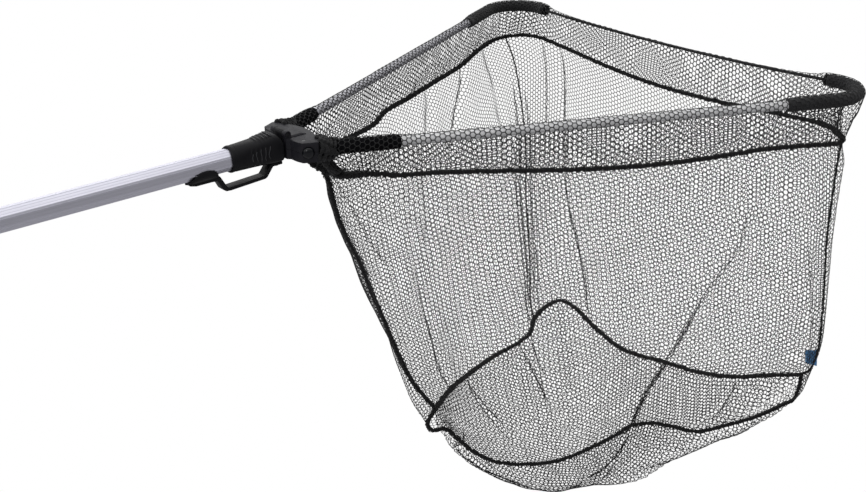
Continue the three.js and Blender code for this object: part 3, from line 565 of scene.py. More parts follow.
class Bottom:
    """The three-cornered bottom panel, hanging as a sack from its rim. Flat cut read round its lowest point."""

    def __init__(self, folds=()):
        self.rim = belly_rim()
        n = 240
        t = np.linspace(0, 1, n, endpoint=False)
        P = self.rim.at(t)
        az = np.unwrap(np.arctan2(P[:, 1] - BELLY[1], P[:, 0] - BELLY[0]))
        order = np.argsort(az)
        self.az, self.t = az[order], t[order]
        # steps from the lowest point (0) to the rim (1)
        self.k = np.linspace(0, 1, 49)
        self.folds = folds
        az0 = np.linspace(-np.pi, np.pi, 181)
        A, K = np.meshgrid(az0, self.k, indexing="ij")
        S = self.surface(A, K)
        seg = np.linalg.norm(np.diff(S, axis=1), axis=-1)
        self.az0 = az0
        self.len = np.concatenate([np.zeros((len(az0), 1)), np.cumsum(seg, 1)], 1)
        self.R = self.len[:, -1]

    def rim_at(self, az):
        lo, hi = self.az[0], self.az[0] + 2 * np.pi
        a = lo + np.mod(az - lo, 2 * np.pi)
        xs = np.r_[self.az, self.az[0] + 2 * np.pi]
        ts = np.unwrap(np.r_[self.t, self.t[0]] * 2 * np.pi) / (2 * np.pi)
        d = np.sign(ts[-1] - ts[0]) or 1
        return self.rim.at(np.mod(np.interp(a, xs, ts), 1.0))

    def surface(self, az, k):
        p = self.rim_at(az)
        t = 1 - k
        # how full the sack is in each direction: flatter towards the near front corner
        full = 0.55 - 0.27 * np.exp(-((np.mod(az + 0.75 + np.pi, 2 * np.pi) - np.pi) / 0.75) ** 2) + 0.22 * np.exp(-((np.mod(az - 2.9 + np.pi, 2 * np.pi) - np.pi) / 0.7) ** 2)
        full = full + (1 - full) * smooth((t - 0.55) / 0.45)
        reach = (1 - t) + full * (1 - np.clip(t, 0, 1) ** 1.55 - (1 - t))
        drop = t + full * (np.sin(np.clip(t, 0, 1) * np.pi / 2) ** 0.82 - t)
        x = BELLY[0] + (p[..., 0] - BELLY[0]) * reach
        y = BELLY[1] + (p[..., 1] - BELLY[1]) * reach
        z = p[..., 2] + (BELLY[2] - p[..., 2]) * drop
        return np.stack([x, y, z], -1)

    def flat(self, x, y):
        az = np.arctan2(y, x)
        rho = np.hypot(x, y)
        i = (az + np.pi) / (2 * np.pi) * (len(self.az0) - 1)
        i0 = np.clip(i.astype(int), 0, len(self.az0) - 2)
        w = i - i0
        tab = self.len[i0] * (1 - w)[..., None] + self.len[i0 + 1] * w[..., None]
        R = tab[..., -1]
        # share of the way, by length
        kk = np.zeros_like(rho)
        idx = np.argmax(tab >= rho[..., None], -1)
        idx = np.where(rho >= R, tab.shape[-1] - 1, np.maximum(idx, 1))
        lo = np.take_along_axis(tab, (idx - 1)[..., None], -1)[..., 0]
        hi = np.take_along_axis(tab, idx[..., None], -1)[..., 0]
        kk = (self.k[idx - 1] + (self.k[idx] - self.k[idx - 1]) * np.clip((rho - lo) / np.maximum(hi - lo, 1e-6), 0, 1))
        return az, kk, rho / np.maximum(R, 1e-6)


# Folds seen in the hanging net: lines of (u, v) with a width and a height in mm; pleats are folded flat, ridges only stand out.
RIDGES_R = [([(0.80, 0.20), (0.78, 0.285), (0.693, 0.458), (0.618, 0.685), (0.578, 0.807), (0.54, 1.0)], 9, 5.0),
            ([(0.30, 0.25), (0.27, 0.55), (0.25, 0.80)], 16, 4.0), ([(0.90, 0.10), (0.93, 0.5), (0.90, 0.9)], 14, 4.0), ([(0.45, 0.1), (0.42, 0.4)], 18, 4.0)]
PLEATS_R = [([(0.80, 0.22), (0.78, 0.285), (0.693, 0.458), (0.618, 0.685), (0.578, 0.807), (0.54, 1.0)], 2.4, 1.6)]
RIDGES_L = [([(0.775, 0.0), (0.745, 0.06), (0.70, 0.13), (0.62, 0.32)], 9, 6.0), ([(0.60, 0.0), (0.52, 0.2), (0.47, 0.5)], 14, 5.0),
            ([(0.36, 0.55), (0.323, 0.83), (0.245, 1.0)], 6, 4.0), ([(0.90, 0.0), (0.90, 0.35), (0.87, 0.6)], 12, 4.0)]
PLEATS_L = [([(0.945, 0.22), (0.95, 0.6), (0.95, 1.0)], 3.6, 1.6)]
RIDGES_F = [([(0.843, 0.0), (0.86, 0.318), (0.84, 0.652), (0.755, 0.935), (0.728, 1.0)], 8, 5.0), ([(0.55, 0.0), (0.56, 0.5), (0.55, 0.8)], 16, 4.0), ([(0.25, 0.05), (0.27, 0.5), (0.25, 0.8)], 16, 4.0)]
PLEATS_F = [([(0.843, 0.0), (0.86, 0.318), (0.84, 0.652), (0.755, 0.935), (0.728, 1.0)], 1.8, 1.5), ([(0.893, 0.0), (0.922, 0.33), (0.93, 0.5)], 1.3, 1.2),
            ([(0.965, 0.3), (0.965, 0.7), (0.96, 1.0)], 3.0, 1.6)]
FOLDS_B = [(-0.78, 3.5, 5.0, 0.35), (2.10, 3.2, 5.0, 0.30), (1.16, 3.0, 4.5, 0.40), (1.30, 2.6, 4.0, 0.30), (-1.75, 4.0, 6.0, 0.25), (2.85, 4.0, 6.0, 0.30), (-2.6, 5.0, 5.0, 0.3), (0.3, 5, 4.0, 0.3)]


def left_bulge(u, v):
    """The far side panel billows out beside the rear corner, so it shows past the corner seam."""
    k = 16 * u * (1 - u) * v * (1 - v)
    b = (u / 0.075) * np.exp(1 - u / 0.075)
    return 12 * k + 23 * b * smooth(v / 0.45) * smooth((1 - v) / 0.10) * (1 - 0.25 * v)


LEFT_BULGE = left_bulge


# ------------------------------------------------------------------ floor and light
def stage():
    m, nt, b = new_material("floor_paint", (0.42, 0.42, 0.43), 0.9, 0.0, Specular_IOR_Level=0.1)
    white = node(nt, "ShaderNodeEmission")
    white.inputs["Strength"].default_value = 1.0
    path = nt.nodes.new("ShaderNodeLightPath")
    mix = nt.nodes.new("ShaderNodeMixShader")
    nt.links.new(path.outputs["Is Camera Ray"], mix.inputs["Fac"])
    nt.links.new(b.outputs[0], mix.inputs[1])
    nt.links.new(white.outputs[0], mix.inputs[2])
    nt.links.new(mix.outputs[0], nt.nodes["Material Output"].inputs["Surface"])
    v = np.array([[-30, -30, -1.1], [30, -30, -1.1], [30, 30, -1.1], [-30, 30, -1.1]], float)
    o = make("floor", v, [[0, 1, 2, 3]], m, False, mm=False)
    o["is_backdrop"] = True

    w = bpy.data.worlds.new("studio")
    bpy.context.scene.world = w
    w.use_nodes = True
    nt = w.node_tree
    bg = nt.nodes["Background"]
    c = nt.nodes.new("ShaderNodeTexCoord")
    s = nt.nodes.new("ShaderNodeSeparateXYZ")
    nt.links.new(c.outputs["Generated"], s.inputs["Vector"])
    # dim low in front (-Y), brighter behind, brightest overhead
    h = maths(nt, "ADD", maths(nt, "MULTIPLY", s.outputs["Y"], 0.42), maths(nt, "MULTIPLY", s.outputs["Z"], 0.75))
    nt.links.new(ramp(nt, maths(nt, "ADD", h, 0.30), [(0.0, 0.21), (0.30, 0.28), (0.62, 0.60), (1.0, 0.80)]), bg.inputs["Color"])
    bg.inputs["Strength"].default_value = 1.0

    def area(name, at, look, size, power, spread=180):
        d = bpy.data.lights.new(name, "AREA")
        d.shape, d.size, d.size_y = "RECTANGLE", size[0], size[1]
        d.energy, d.spread = power, math.radians(spread)
        l = bpy.data.objects.new(name, d)
        l.location = at
        l.rotation_mode = "QUATERNION"
        l.rotation_quaternion = (Vector(look) - Vector(at)).to_track_quat("-Z", "Y")
        l.visible_camera = False
        bpy.context.scene.collection.objects.link(l)

    area("overhead", (0.5, 0.3, 2.6), (0.5, 0.0, 0), (3.2, 2.2), 7.4)
    area("key_left", (-1.7, -1.5, 2.0), (0.7, 0, -0.1), (1.0, 1.0), 13)
    area("back_rim", (1.2, 2.6, 1.5), (0.7, 0, -0.1), (2.4, 1.0), 9)
    bpy.context.scene.view_settings.view_transform = "Standard"


stage()


# ------------------------------------------------------------------ arm line
def arm_point(s, d=0.0, side=1):
    """Point at s mm along an arm, d mm outwards; side 1 is the left arm, -1 the right."""
    s = np.atleast_1d(np.asarray(s, float))
    a = np.clip((s - ARM_STRAIGHT) / BEND_R, 0, BEND)
    e = np.clip(s - ARM_STRAIGHT - BEND_R * BEND, 0, None)
    st = np.minimum(s, ARM_STRAIGHT)
    x = st * math.cos(ARM) + BEND_R * (math.sin(ARM) - np.sin(ARM - a)) + e * np.cos(ARM - BEND)
    y = st * math.sin(ARM) + BEND_R * (np.cos(ARM - a) - math.cos(ARM)) + e * np.sin(ARM - BEND)
    h = ARM - a
    x, y = x - d * np.sin(h), y + d * np.cos(h)
    return np.stack([x, side * (PIVOT_Y + y), np.zeros_like(x)], -1)


ARM_LEN = ARM_STRAIGHT + BEND_R * BEND + ARM_END


# ------------------------------------------------------------------ handle tubes
def fluted_profile(r_corner, r_flat, roll, groove=0.11, wide=0.26, ease=1.1):
    """Eight flats with eased corners and two fine lengthwise grooves in each flat, as drawn tube has."""
    pts = []
    half = r_flat * math.tan(math.pi / 8)
    for k in range(8):
        mid = math.radians(45 * k + roll)
        cs, sn = math.cos(mid), math.sin(mid)
        xs = [-half + ease, -half + ease + 0.35]
        for g in (-half / 3, half / 3):
            xs += [g - wide * 2.4, g - wide * 1.5, g - wide * 0.7, g, g + wide * 0.7, g + wide * 1.5, g + wide * 2.4]
        xs += [half - ease - 0.35, half - ease]
        ds = [0, 0] + [0, 0, groove * 0.6, groove, groove * 0.6, 0, 0] * 2 + [0, 0]
        for t, d in zip(xs, ds):
            pts.append(((r_flat - d) * cs - t * sn, (r_flat - d) * sn + t * cs))
        # eased corner, to the CAD's corner radius
        c = mid + math.pi / 8
        span = math.atan((half - ease) / r_flat)
        for q in (-0.5, 0, 0.5):
            a = c + q * 2 * (math.pi / 8 - span) * 0.8
            pts.append((r_corner * math.cos(a), r_corner * math.sin(a)))
    return np.array(pts)


def extrude_tube(name, prof, x0, x1, inner, mat, chamfer=0.5):
    """Tube with wall: outline prof (y, z), bore radius inner, chamfered ends."""
    n = len(prof)
    ang = np.arctan2(prof[:, 1], prof[:, 0])
    ring_in = np.stack([inner * np.cos(ang), inner * np.sin(ang)], -1)
    stations = [(x0, 1 - chamfer / 14), (x0 + chamfer, 1.0)] + [(x, 1.0) for x in np.linspace(x0 + 8, x1 - 8, 5)] + [(x1 - chamfer, 1.0), (x1, 1 - chamfer / 14)]
    rings = [np.c_[np.full(n, x), prof * k] for x, k in stations]
    rings += [np.c_[np.full(n, x), ring_in] for x in (x1, x0)]
    V = np.vstack(rings)
    m = len(rings)
    i, j = np.meshgrid(np.arange(m), np.arange(n), indexing="ij")
    k = (j + 1) % n
    i2 = (i + 1) % m
    F = np.stack([i * n + j, i * n + k, i2 * n + k, i2 * n + j], -1).reshape(-1, 4)
    o = make(name, V, F, mat, True)
    o.data.set_sharp_from_angle(angle=math.radians(24))
    return o


front = extrude_tube("front_tube_drawn", fluted_profile(11.15, 10.87, -6 + 90), -540, -24, 9.9, SILVER)
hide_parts("front_tube")
ride(front, "front_section", "silver_tube")
rear = extrude_tube("rear_tube_drawn", fluted_profile(13.4, 13.05, -6 + 90), -790, -340, 12.3, GREY)
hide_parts("rear_tube")
ride(rear, "handle", "grey_tube")


# ------------------------------------------------------------------ turned and moulded parts of the handle
def lathe_x(name, profile, mat, n=48, sharp=30, flat=None):
    """profile [(x, radius)] turned about X, closed on the axis or back on itself."""
    P = np.array(profile, float)
    a = np.arange(n) * 2 * np.pi / n
    V = np.concatenate([np.c_[np.full(n, x), r * np.cos(a), r * np.sin(a)] for x, r in P])
    m = len(P)
    i, j = np.meshgrid(np.arange(m), np.arange(n), indexing="ij")
    k = (j + 1) % n
    i2 = (i + 1) % m
    F = np.stack([i * n + j, i * n + k, i2 * n + k, i2 * n + j], -1).reshape(-1, 4)
    o = make(name, V, F, mat, True)
    o.data.set_sharp_from_angle(angle=math.radians(sharp))
    return o


def grip():
    """Foam grip: rounded ends, pebbled skin and nine shallow rings."""
    xs = np.r_[np.linspace(-780, -774, 9), np.linspace(-772, -568, 274), np.linspace(-566, -560, 9)]
    n = 96
    a = np.arange(n) * 2 * np.pi / n
    X, A = np.meshgrid(xs, a, indexing="ij")
    e = np.minimum(X + 780, -560 - X)
    r = 17.0 - 2.2 * (1 - np.sqrt(np.clip(1 - (1 - np.clip(e / 6.0, 0, 1)) ** 2, 0, 1)))
    for c in np.linspace(-765, -575, 12):
        r = r - 0.9 * np.exp(-((X - c) / 1.3) ** 2)
    q = np.stack([X * 0.35, np.cos(A) * 6, np.sin(A) * 6], -1)
    r = r - 0.10 + 0.10 * smooth_noise(q, 3, ((1.1, 1.0),)) * (e > 3)
    outer = np.stack([X, r * np.cos(A), r * np.sin(A)], -1).reshape(-1, 3)
    inner = np.stack([X[[-1, 0]], 13.6 * np.cos(A[[-1, 0]]), 13.6 * np.sin(A[[-1, 0]])], -1).reshape(-1, 3)
    V = np.vstack([outer, inner])
    m = len(xs) + 2
    i, j = np.meshgrid(np.arange(m), np.arange(n), indexing="ij")
    k = (j + 1) % n
    i2 = (i + 1) % m
    F = np.stack([i * n + j, i * n + k, i2 * n + k, i2 * n + j], -1).reshape(-1, 4)
    o = make("hand_grip_foam", V, F, GRIP)
    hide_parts("hand_grip")
    ride(o, "handle", "grip_foam")


grip()

for nodes, name, mat, w, body, slot in (
        (["end_cap"], "end_cap_moulded", BLACK, 0.0009, "handle", "black_plastic"),
        (["tube_lock_housing"], "tube_lock_moulded", BLACK, 0.0008, "handle", "black_plastic"),
        (["tube_lock_button"], "tube_button_moulded", GLOSS, 0.0007, "tube_button", "gloss_black"),
        (["tube_guide"], "tube_guide_moulded", BLACK, 0.0003, "front_section", "black_plastic"),
        (["hinge_plug"], "hinge_plug_moulded", BLACK, 0.0004, "front_section", "black_plastic"),
        (["belt_clip"], "belt_clip_moulded", BLACK, 0.0008, "clip", "black_plastic"),
        (["clip_screw"], "clip_screw_head", STEEL, 0.0004, "clip", "steel"),
        (["yoke_upper"], "yoke_upper_moulded", CHARCOAL, 0.0007, "head", "charcoal_plastic"),
        (["yoke_lower"], "yoke_lower_moulded", CHARCOAL, 0.0007, "head", "charcoal_plastic"),
        (["yoke_screw_right", "yoke_screw_left"], "yoke_screw_heads", STEEL, 0.0003, "head", "steel"),
        (["arm_button_right"], "arm_button_right_moulded", GLOSS, 0.0003, "button_right", "gloss_black"),
        (["arm_button_left"], "arm_button_left_moulded", GLOSS, 0.0003, "button_left", "gloss_black"),
        (["arm_root_right"], "arm_root_right_moulded", CHARCOAL, 0.0004, "arm_right", "charcoal_plastic"),
        (["arm_root_left"], "arm_root_left_moulded", CHARCOAL, 0.0004, "arm_left", "charcoal_plastic"),
        (["tip_plug_right"], "tip_plug_right_moulded", BLACK, 0.0004, "arm_right", "black_plastic"),
        (["tip_plug_left"], "tip_plug_left_moulded", BLACK, 0.0004, "arm_left", "black_plastic"),
):
    ride(rounded(nodes, name, mat, w), body, slot)

for nm, mat in (("hinge_pin", DARK_STEEL), ("plug_rivet", STEEL), ("arm_pin_right", DARK_STEEL), ("arm_pin_left", DARK_STEEL)):
    o = frame_node(nm)
    o.data.materials.clear()
    o.data.materials.append(mat)
    for s_ in o.material_slots:
        s_.material = mat


def clip_pad():
    """Leaf-shaped saddle at the clip's free end, cupping the underside of the tube."""
    nu, nv = 41, 33
    u = np.linspace(-1, 1, nu)                  # along the tube
    v = np.linspace(-1, 1, nv)                  # round it
    U, V_ = np.meshgrid(u, v, indexing="ij")
    wing = math.radians(84) * (1 - np.abs(U) ** 2.6) ** 0.5
    wing = np.maximum(wing, math.radians(24) * (1 - 0.5 * U ** 8))
    ang = V_ * wing
    x = -103.0 + 16.5 * U + 1.5 * (1 - np.abs(V_)) * U
    ro = 13.3 + 1.5 * np.sqrt(np.clip(1 - np.abs(V_) ** 3, 0, 1)) * (1 - 0.35 * U ** 6) - 0.9 * np.abs(V_) ** 8
    ri = 11.75 + 0.5 * np.abs(V_) ** 8
    outer = np.stack([x, ro * np.sin(ang), -ro * np.cos(ang)], -1)
    inner = np.stack([x, ri * np.sin(ang), -ri * np.cos(ang)], -1)
    V = np.vstack([outer.reshape(-1, 3), inner.reshape(-1, 3)])
    g = np.arange(nu * nv).reshape(nu, nv)
    F = np.stack([g[:-1, :-1], g[1:, :-1], g[1:, 1:], g[:-1, 1:]], -1).reshape(-1, 4)
    n = nu * nv
    loop = np.r_[g[:, 0], g[-1, 1:], g[-2::-1, -1], g[0, -2:0:-1]]
    ring_f = np.stack([loop, np.roll(loop, -1), np.roll(loop, -1) + n, loop + n], -1)
    o = make("clip_saddle_pad", V, np.vstack([F, F[:, ::-1] + n, ring_f[:, ::-1]]), BLACK)
    o.data.set_sharp_from_angle(angle=math.radians(48))
    ride(o, "clip", "black_plastic")


clip_pad()


# ------------------------------------------------------------------ lock collar
def collar():
    """Lofted lock collar with grip ribs on its sides and a ribbed thumb ramp on top."""
    sec = np.array([
        (-73.0, 13.2, 13.4, 13.2, 1.00, -0.25), (-69, 13.6, 13.6, 13.6, 1, -0.2), (-60, 13.7, 13.8, 13.6, 0.95, 0),
        (-44, 13.8, 14.4, 13.5, 0.78, 0), (-30, 14, 15.6, 13.4, 0.6, 0.1), (-22, 14.1, 16.6, 13.3, 0.5, 0.3), (-14.5, 14.1, 16.5, 13.2, 0.5, 0.64)])
    xs = np.r_[-73.0, -72.7, -72.0, np.linspace(-71, -16, 166), -15.2, -14.7, -14.5]
    n = 144
    a = (np.arange(n) + 0.5) * 2 * np.pi / n
    rows = []
    for x in xs:
        w, top, bot, e, rk = (np.interp(x, sec[:, 0], sec[:, k]) for k in range(1, 6))
        c, s = np.cos(a), np.sin(a)
        y = w * np.sign(c) * np.abs(c) ** e
        z = np.where(s > 0, top, bot) * np.sign(s) * np.abs(s) ** e
        edge = min(x + 73, -14.5 - x)
        k = 1 - 0.045 * (1 - math.sqrt(max(0, 1 - (1 - min(edge / 1.0, 1)) ** 2)))
        # lip at the rear mouth
        lip = 0.35 * math.exp(-((x + 71.2) / 1.2) ** 2) - 0.35 * math.exp(-((x + 67.6) / 0.9) ** 2)
        h = np.full(n, lip)
        # side ribs: curved, upright
        side = np.exp(-(z / 7.8) ** 6) * (np.abs(c) > 0.5)
        bow = x - 0.030 * z * z
        for rib in (-52.5, -47.5, -42.5, -37.5, -32.5):
            h = h + 0.85 * side * np.exp(-((bow - rib) / 0.85) ** 2)
        # thumb ramp ribs across the top
        top_on = np.exp(-(y / 8.5) ** 8) * (s > 0)
        for rib in (-38.5, -34.5, -30.5, -26.5, -22.5):
            h = h + 1.0 * top_on * np.exp(-((x - rib) / 0.95) ** 2)
        # sunk panel round the side ribs
        h = h - 0.30 * side * (1 / (1 + np.exp((abs(x + 42.5) - 14.5) / 0.5)))
        r = np.hypot(y, z)
        y, z = y * k * (1 + h / r), z * k * (1 + h / r)
        xx = x - np.where(z > 7, (z - 7) * rk, 0)
        rows.append(np.stack([xx, y, z], -1))
    outer = np.array(rows)
    bore = 11.9
    ic = np.stack([np.zeros(n), bore * np.cos(np.arctan2(outer[-1, :, 2], outer[-1, :, 1])), bore * np.sin(np.arctan2(outer[-1, :, 2], outer[-1, :, 1]))], -1)
    ic0 = np.stack([np.zeros(n), bore * np.cos(a), bore * np.sin(a)], -1)
    end = ic.copy(); end[:, 0] = outer[-1, :, 0]
    start = ic0.copy(); start[:, 0] = outer[0, :, 0]
    grid = np.concatenate([outer, end[None], start[None]])
    m = len(grid)
    V = grid.reshape(-1, 3)
    i, j = np.meshgrid(np.arange(m), np.arange(n), indexing="ij")
    k = (j + 1) % n
    i2 = (i + 1) % m
    F = np.stack([i * n + j, i * n + k, i2 * n + k, i2 * n + j], -1).reshape(-1, 4)
    o = make("lock_collar_ribbed", V, F, BLACK)
    o.data.set_sharp_from_angle(angle=math.radians(50))
    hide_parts("lock_collar")
    ride(o, "collar", "black_plastic")


collar()


def collar_ribs():
    """Thin raised ribs in paler plastic as a painted highlight: five upright on each side, five across the thumb ramp.
    """
    sec = np.array([(-73.0, 13.2, 13.4, 1.00, -0.25), (-69, 13.6, 13.6, 1, -0.2), (-60, 13.7, 13.8, 0.95, 0), (-44, 13.8, 14.4, 0.78, 0),
                    (-30, 14, 15.6, 0.6, 0.1), (-22, 14.1, 16.6, 0.5, 0.3), (-14.5, 14.1, 16.5, 0.5, 0.64)])
    at = lambda x, k: np.interp(x, sec[:, 0], sec[:, k])
    parts = []
    for side in (-1, 1):
        for rib, lo, hi in ((-51.5, -4.5, 4.0), (-47.0, -6.0, 5.5), (-42.0, -6.5, 6.8), (-37.0, -6.5, 7.6), (-32.5, -6.0, 8.0)):
            z = np.linspace(lo, hi, 26)
            x = rib + 0.030 * z * z + 0.5 * np.sin(z * 0.5 + rib)
            w, top, e = at(x, 1), at(x, 2), at(x, 3)
            h = np.where(z > 0, top, 13.4)
            y = side * (w * np.clip(1 - np.abs(z / h) ** (2 / e), 0, 1) ** (e / 2) + 0.50)
            k = 0.42 * np.sqrt(np.clip(1 - np.linspace(-1, 1, 26) ** 6, 0.1, 1))
            parts.append(tube(np.stack([x, y, z], -1), k, k, 8))
    for rib, wide in ((-42.0, 6.0), (-37.5, 7.2), (-33.0, 8.2), (-28.5, 8.8), (-24.0, 9.0)):
        y = np.linspace(-wide, wide, 26)
        w, top, e, rk = (at(np.full(26, rib), k) for k in (1, 2, 3, 4))
        z = top * np.clip(1 - np.abs(y / w) ** (2 / e), 0, 1) ** (e / 2) + 0.75
        x = rib - (z - 7) * rk
        k = 0.45 * np.sqrt(np.clip(1 - np.linspace(-1, 1, 26) ** 6, 0.1, 1))
        parts.append(tube(np.stack([x, y, z], -1), k, k, 8, hint=(1, 0, 0)))
    V, F = join_parts(parts)
    ride(make("collar_ribs", V, F, RIB_PAINTED_HIGHLIGHT), "collar", "black_plastic")


collar_ribs()


# ------------------------------------------------------------------ arms: tubes, foam
# each arm tube takes its own painted-light copy of the aluminium
for side, tag_, mat in ((-1, "right", SILVER_R_PAINTED_LIT), (1, "left", SILVER_L_PAINTED_LIT)):
    s = np.r_[8.4, 8.7, np.linspace(20, 580, 29), np.linspace(590, ARM_LEN - ARM_END, 34), ARM_LEN - 0.3, ARM_LEN]
    P = arm_point(s, 0, side)
    r = np.full(len(s), 5.0)
    r[[0, -1]] = 4.7
    V, F = tube(P, r, n=28)
    o = make("arm_tube_%s_drawn" % tag_, V, F, mat)
    o.data.set_sharp_from_angle(angle=math.radians(40))
    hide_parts("arm_tube_" + tag_)
    ride(o, "arm_" + tag_, "silver_tube")
    for nm, s0, s1, seed in (("base_foam_", 21, 99 if side < 0 else 82, 11), ("tip_foam_", 529 if side < 0 else 511, ARM_LEN - 0.4, 12)):
        k = int((s1 - s0) / 1.1)
        s = np.linspace(s0, s1, k)
        e = np.minimum(s - s0, s1 - s)
        r = 7.6 - 1.5 * (1 - np.sqrt(np.clip(1 - (1 - np.clip(e / 3.0, 0, 1)) ** 2, 0, 1)))
        n = 36
        a = np.arange(n) * 2 * np.pi / n
        S_, A_ = np.meshgrid(s, a, indexing="ij")
        q = np.stack([S_ * 0.20, np.cos(A_) * 1.6, np.sin(A_) * 1.6], -1)
        rr = r[:, None] - 0.12 + 0.24 * smooth_noise(q, seed + (side > 0) * 5, ((0.5, 0.5), (1.4, 0.6)))
        V, F = tube(arm_point(s, 0, side), rr, n=n)
        o = make(nm + tag_ + "_foam", V, F, FOAM if nm == "base_foam_" else TIP_FOAM)
        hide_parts(nm + tag_)
        ride(o, "arm_" + tag_, "arm_foam")


# ------------------------------------------------------------------ front cord
def front_cord():
    u = np.linspace(0, 1, 41)
    b = 4 * u * (1 - u)
    ex, ey = 587.5, 230.5
    P = np.stack([ex - 1.5 * b, -ey * (1 - 2 * u), -5 * b], -1)
    dense = Line(P, smooth=False)
    m = 600
    t = np.linspace(0, 1, m)
    Q = dense.at(t)
    n = 16
    a = np.arange(n) * 2 * np.pi / n
    s = t * dense.L
    r = 1.85 + 0.15 * np.cos(2 * (s[:, None] * 2 * np.pi / 9.0 + a)) * np.cos(2 * (s[:, None] * 2 * np.pi / 9.0 - a))
    V, F = tube(Q, r, n=n)
    o = make("front_cord_braided", V, F, CORD)
    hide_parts("front_cord")
    ride(o, "arm_right", "cord")
    path = row(P)
    tuple(path[0])
    [tuple(p) for p in path]
    # folded, the far tip comes back beside the near one
    near, far = np.array([ex, -ey, 0.0]), np.array([ex, ey, 0.0])

    def turned(p, pivot, deg):
        c, s_ = math.cos(math.radians(deg)), math.sin(math.radians(deg))
        d = p - pivot
        return pivot + np.array([c * d[0] - s_ * d[1], s_ * d[0] + c * d[1], d[2]])
    near2 = turned(near, np.array([0, -PIVOT_Y, 0]), 20)
    far2 = turned(far, np.array([0, PIVOT_Y, 0]), -20)
    w = far2 - near2
    c, s_ = math.cos(math.radians(-20)), math.sin(math.radians(-20))
    w = np.array([c * w[0] - s_ * w[1], s_ * w[0] + c * w[1], w[2]])      # in the near arm's own frame
    tuple(row(near))
    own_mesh(o)


front_cord()


# ------------------------------------------------------------------ netting
HEX = 3.464          # side of a mesh hole; holes are 6 mm across their flats
STEP = HEX * math.sqrt(3) / 2


def honeycomb(place, x0, x1, y0, y1, w=0.46, t=0.34, keep=None):
    """Knotless netting as one closed mesh: a lattice of strands round six-sided holes.
    place(x, y) gives (points, normals, u, v) for points of the flat cut; a hole is made where u and v are from 0 to 1."""
    k = np.arange(int(x0 / (1.5 * HEX)) - 2, int(x1 / (1.5 * HEX)) + 3)
    m = np.arange(int(y0 / STEP) - 2, int(y1 / STEP) + 3)
    K, M = np.meshgrid(k, m, indexing="ij")
    X = 0.75 * HEX + 1.5 * HEX * K + 0.25 * HEX * np.where((K + M) % 2 == 0, 1, -1)
    Y = M * STEP
    P, N, U, V = place(X, Y)
    nm = len(m)
    C, M0 = np.meshgrid(np.arange(1, len(k)), np.arange(1, nm - 1), indexing="ij")
    even = ((C + k[0]) + (M0 + m[0])) % 2 == 0
    C, M0 = C[even], M0[even]
    cells = np.stack([C * nm + M0, C * nm + M0 + 1, (C - 1) * nm + M0 + 1, (C - 1) * nm + M0, (C - 1) * nm + M0 - 1, C * nm + M0 - 1], -1)
    P, N, U, V = P.reshape(-1, 3), N.reshape(-1, 3), U.ravel(), V.ravel()
    cu, cv = U[cells].mean(1), V[cells].mean(1)
    mid = P[cells].mean(1)
    ok = (cu > 0) & (cu < 1) & (cv > 0) & (cv < 1)
    if keep is not None:
        ok &= keep(mid, cu, cv)
    cells, mid = cells[ok], mid[ok]
    used, inv = np.unique(cells, return_inverse=True)
    cells = inv.reshape(-1, 6)
    P, N = P[used], N[used]
    nn, nc = len(used), len(cells)
    d = mid[:, None] - P[cells]
    L = np.linalg.norm(d, axis=-1, keepdims=True) + 1e-9
    inner = P[cells] + d / L * np.minimum(1.1547 * w, 0.62 * L)
    verts = np.vstack([P + N * t, P - N * t, inner.reshape(-1, 3)])
    i = cells
    j = np.roll(cells, -1, 1)
    ii = 2 * nn + np.arange(nc * 6).reshape(nc, 6)
    jj = np.roll(ii, -1, 1)
    top = np.stack([i, j, jj, ii], -1).reshape(-1, 4)
    bot = np.stack([nn + j, nn + i, ii, jj], -1).reshape(-1, 4)
    key = (np.minimum(i, j).astype(np.int64) * nn + np.maximum(i, j)).ravel()
    _, first, counts = np.unique(key, return_inverse=True, return_counts=True)
    rim = counts[first] == 1
    ri, rj = i.ravel()[rim], j.ravel()[rim]
    side = np.stack([rj, ri, nn + ri, nn + rj], -1)
    return verts, np.vstack([top, bot, side])


def wander(x, y, seed, amp):
    """Soft pull of the mesh in its own plane."""
    q = np.stack([x, y], -1) / 1000.0
    return amp * smooth_noise(q, seed, ((7, 1.0), (17, 0.35)))


def panel_place(wall, seed, pull=1.6, swell=2.2):
    def place(x, y):
        xw = x + wander(x, y, seed, pull)
        yw = y + wander(x, y, seed + 1, pull)
        u, v, lift = wall.flat(xw, yw)
        uc, vc = np.clip(u, 0, 1), np.clip(v, 0, 1)
        q = np.stack([x, y], -1) / 1000.0
        edge = np.clip(np.minimum(np.minimum(uc, 1 - uc) * 12, np.minimum(vc, 1 - vc) * 12), 0, 1)
        soft = swell * smooth_noise(q, seed + 2, ((9, 1.0), (21, 0.4))) * edge
        P, N = wall.at(uc, vc, lift + soft)
        return P, N, u, v
    return place


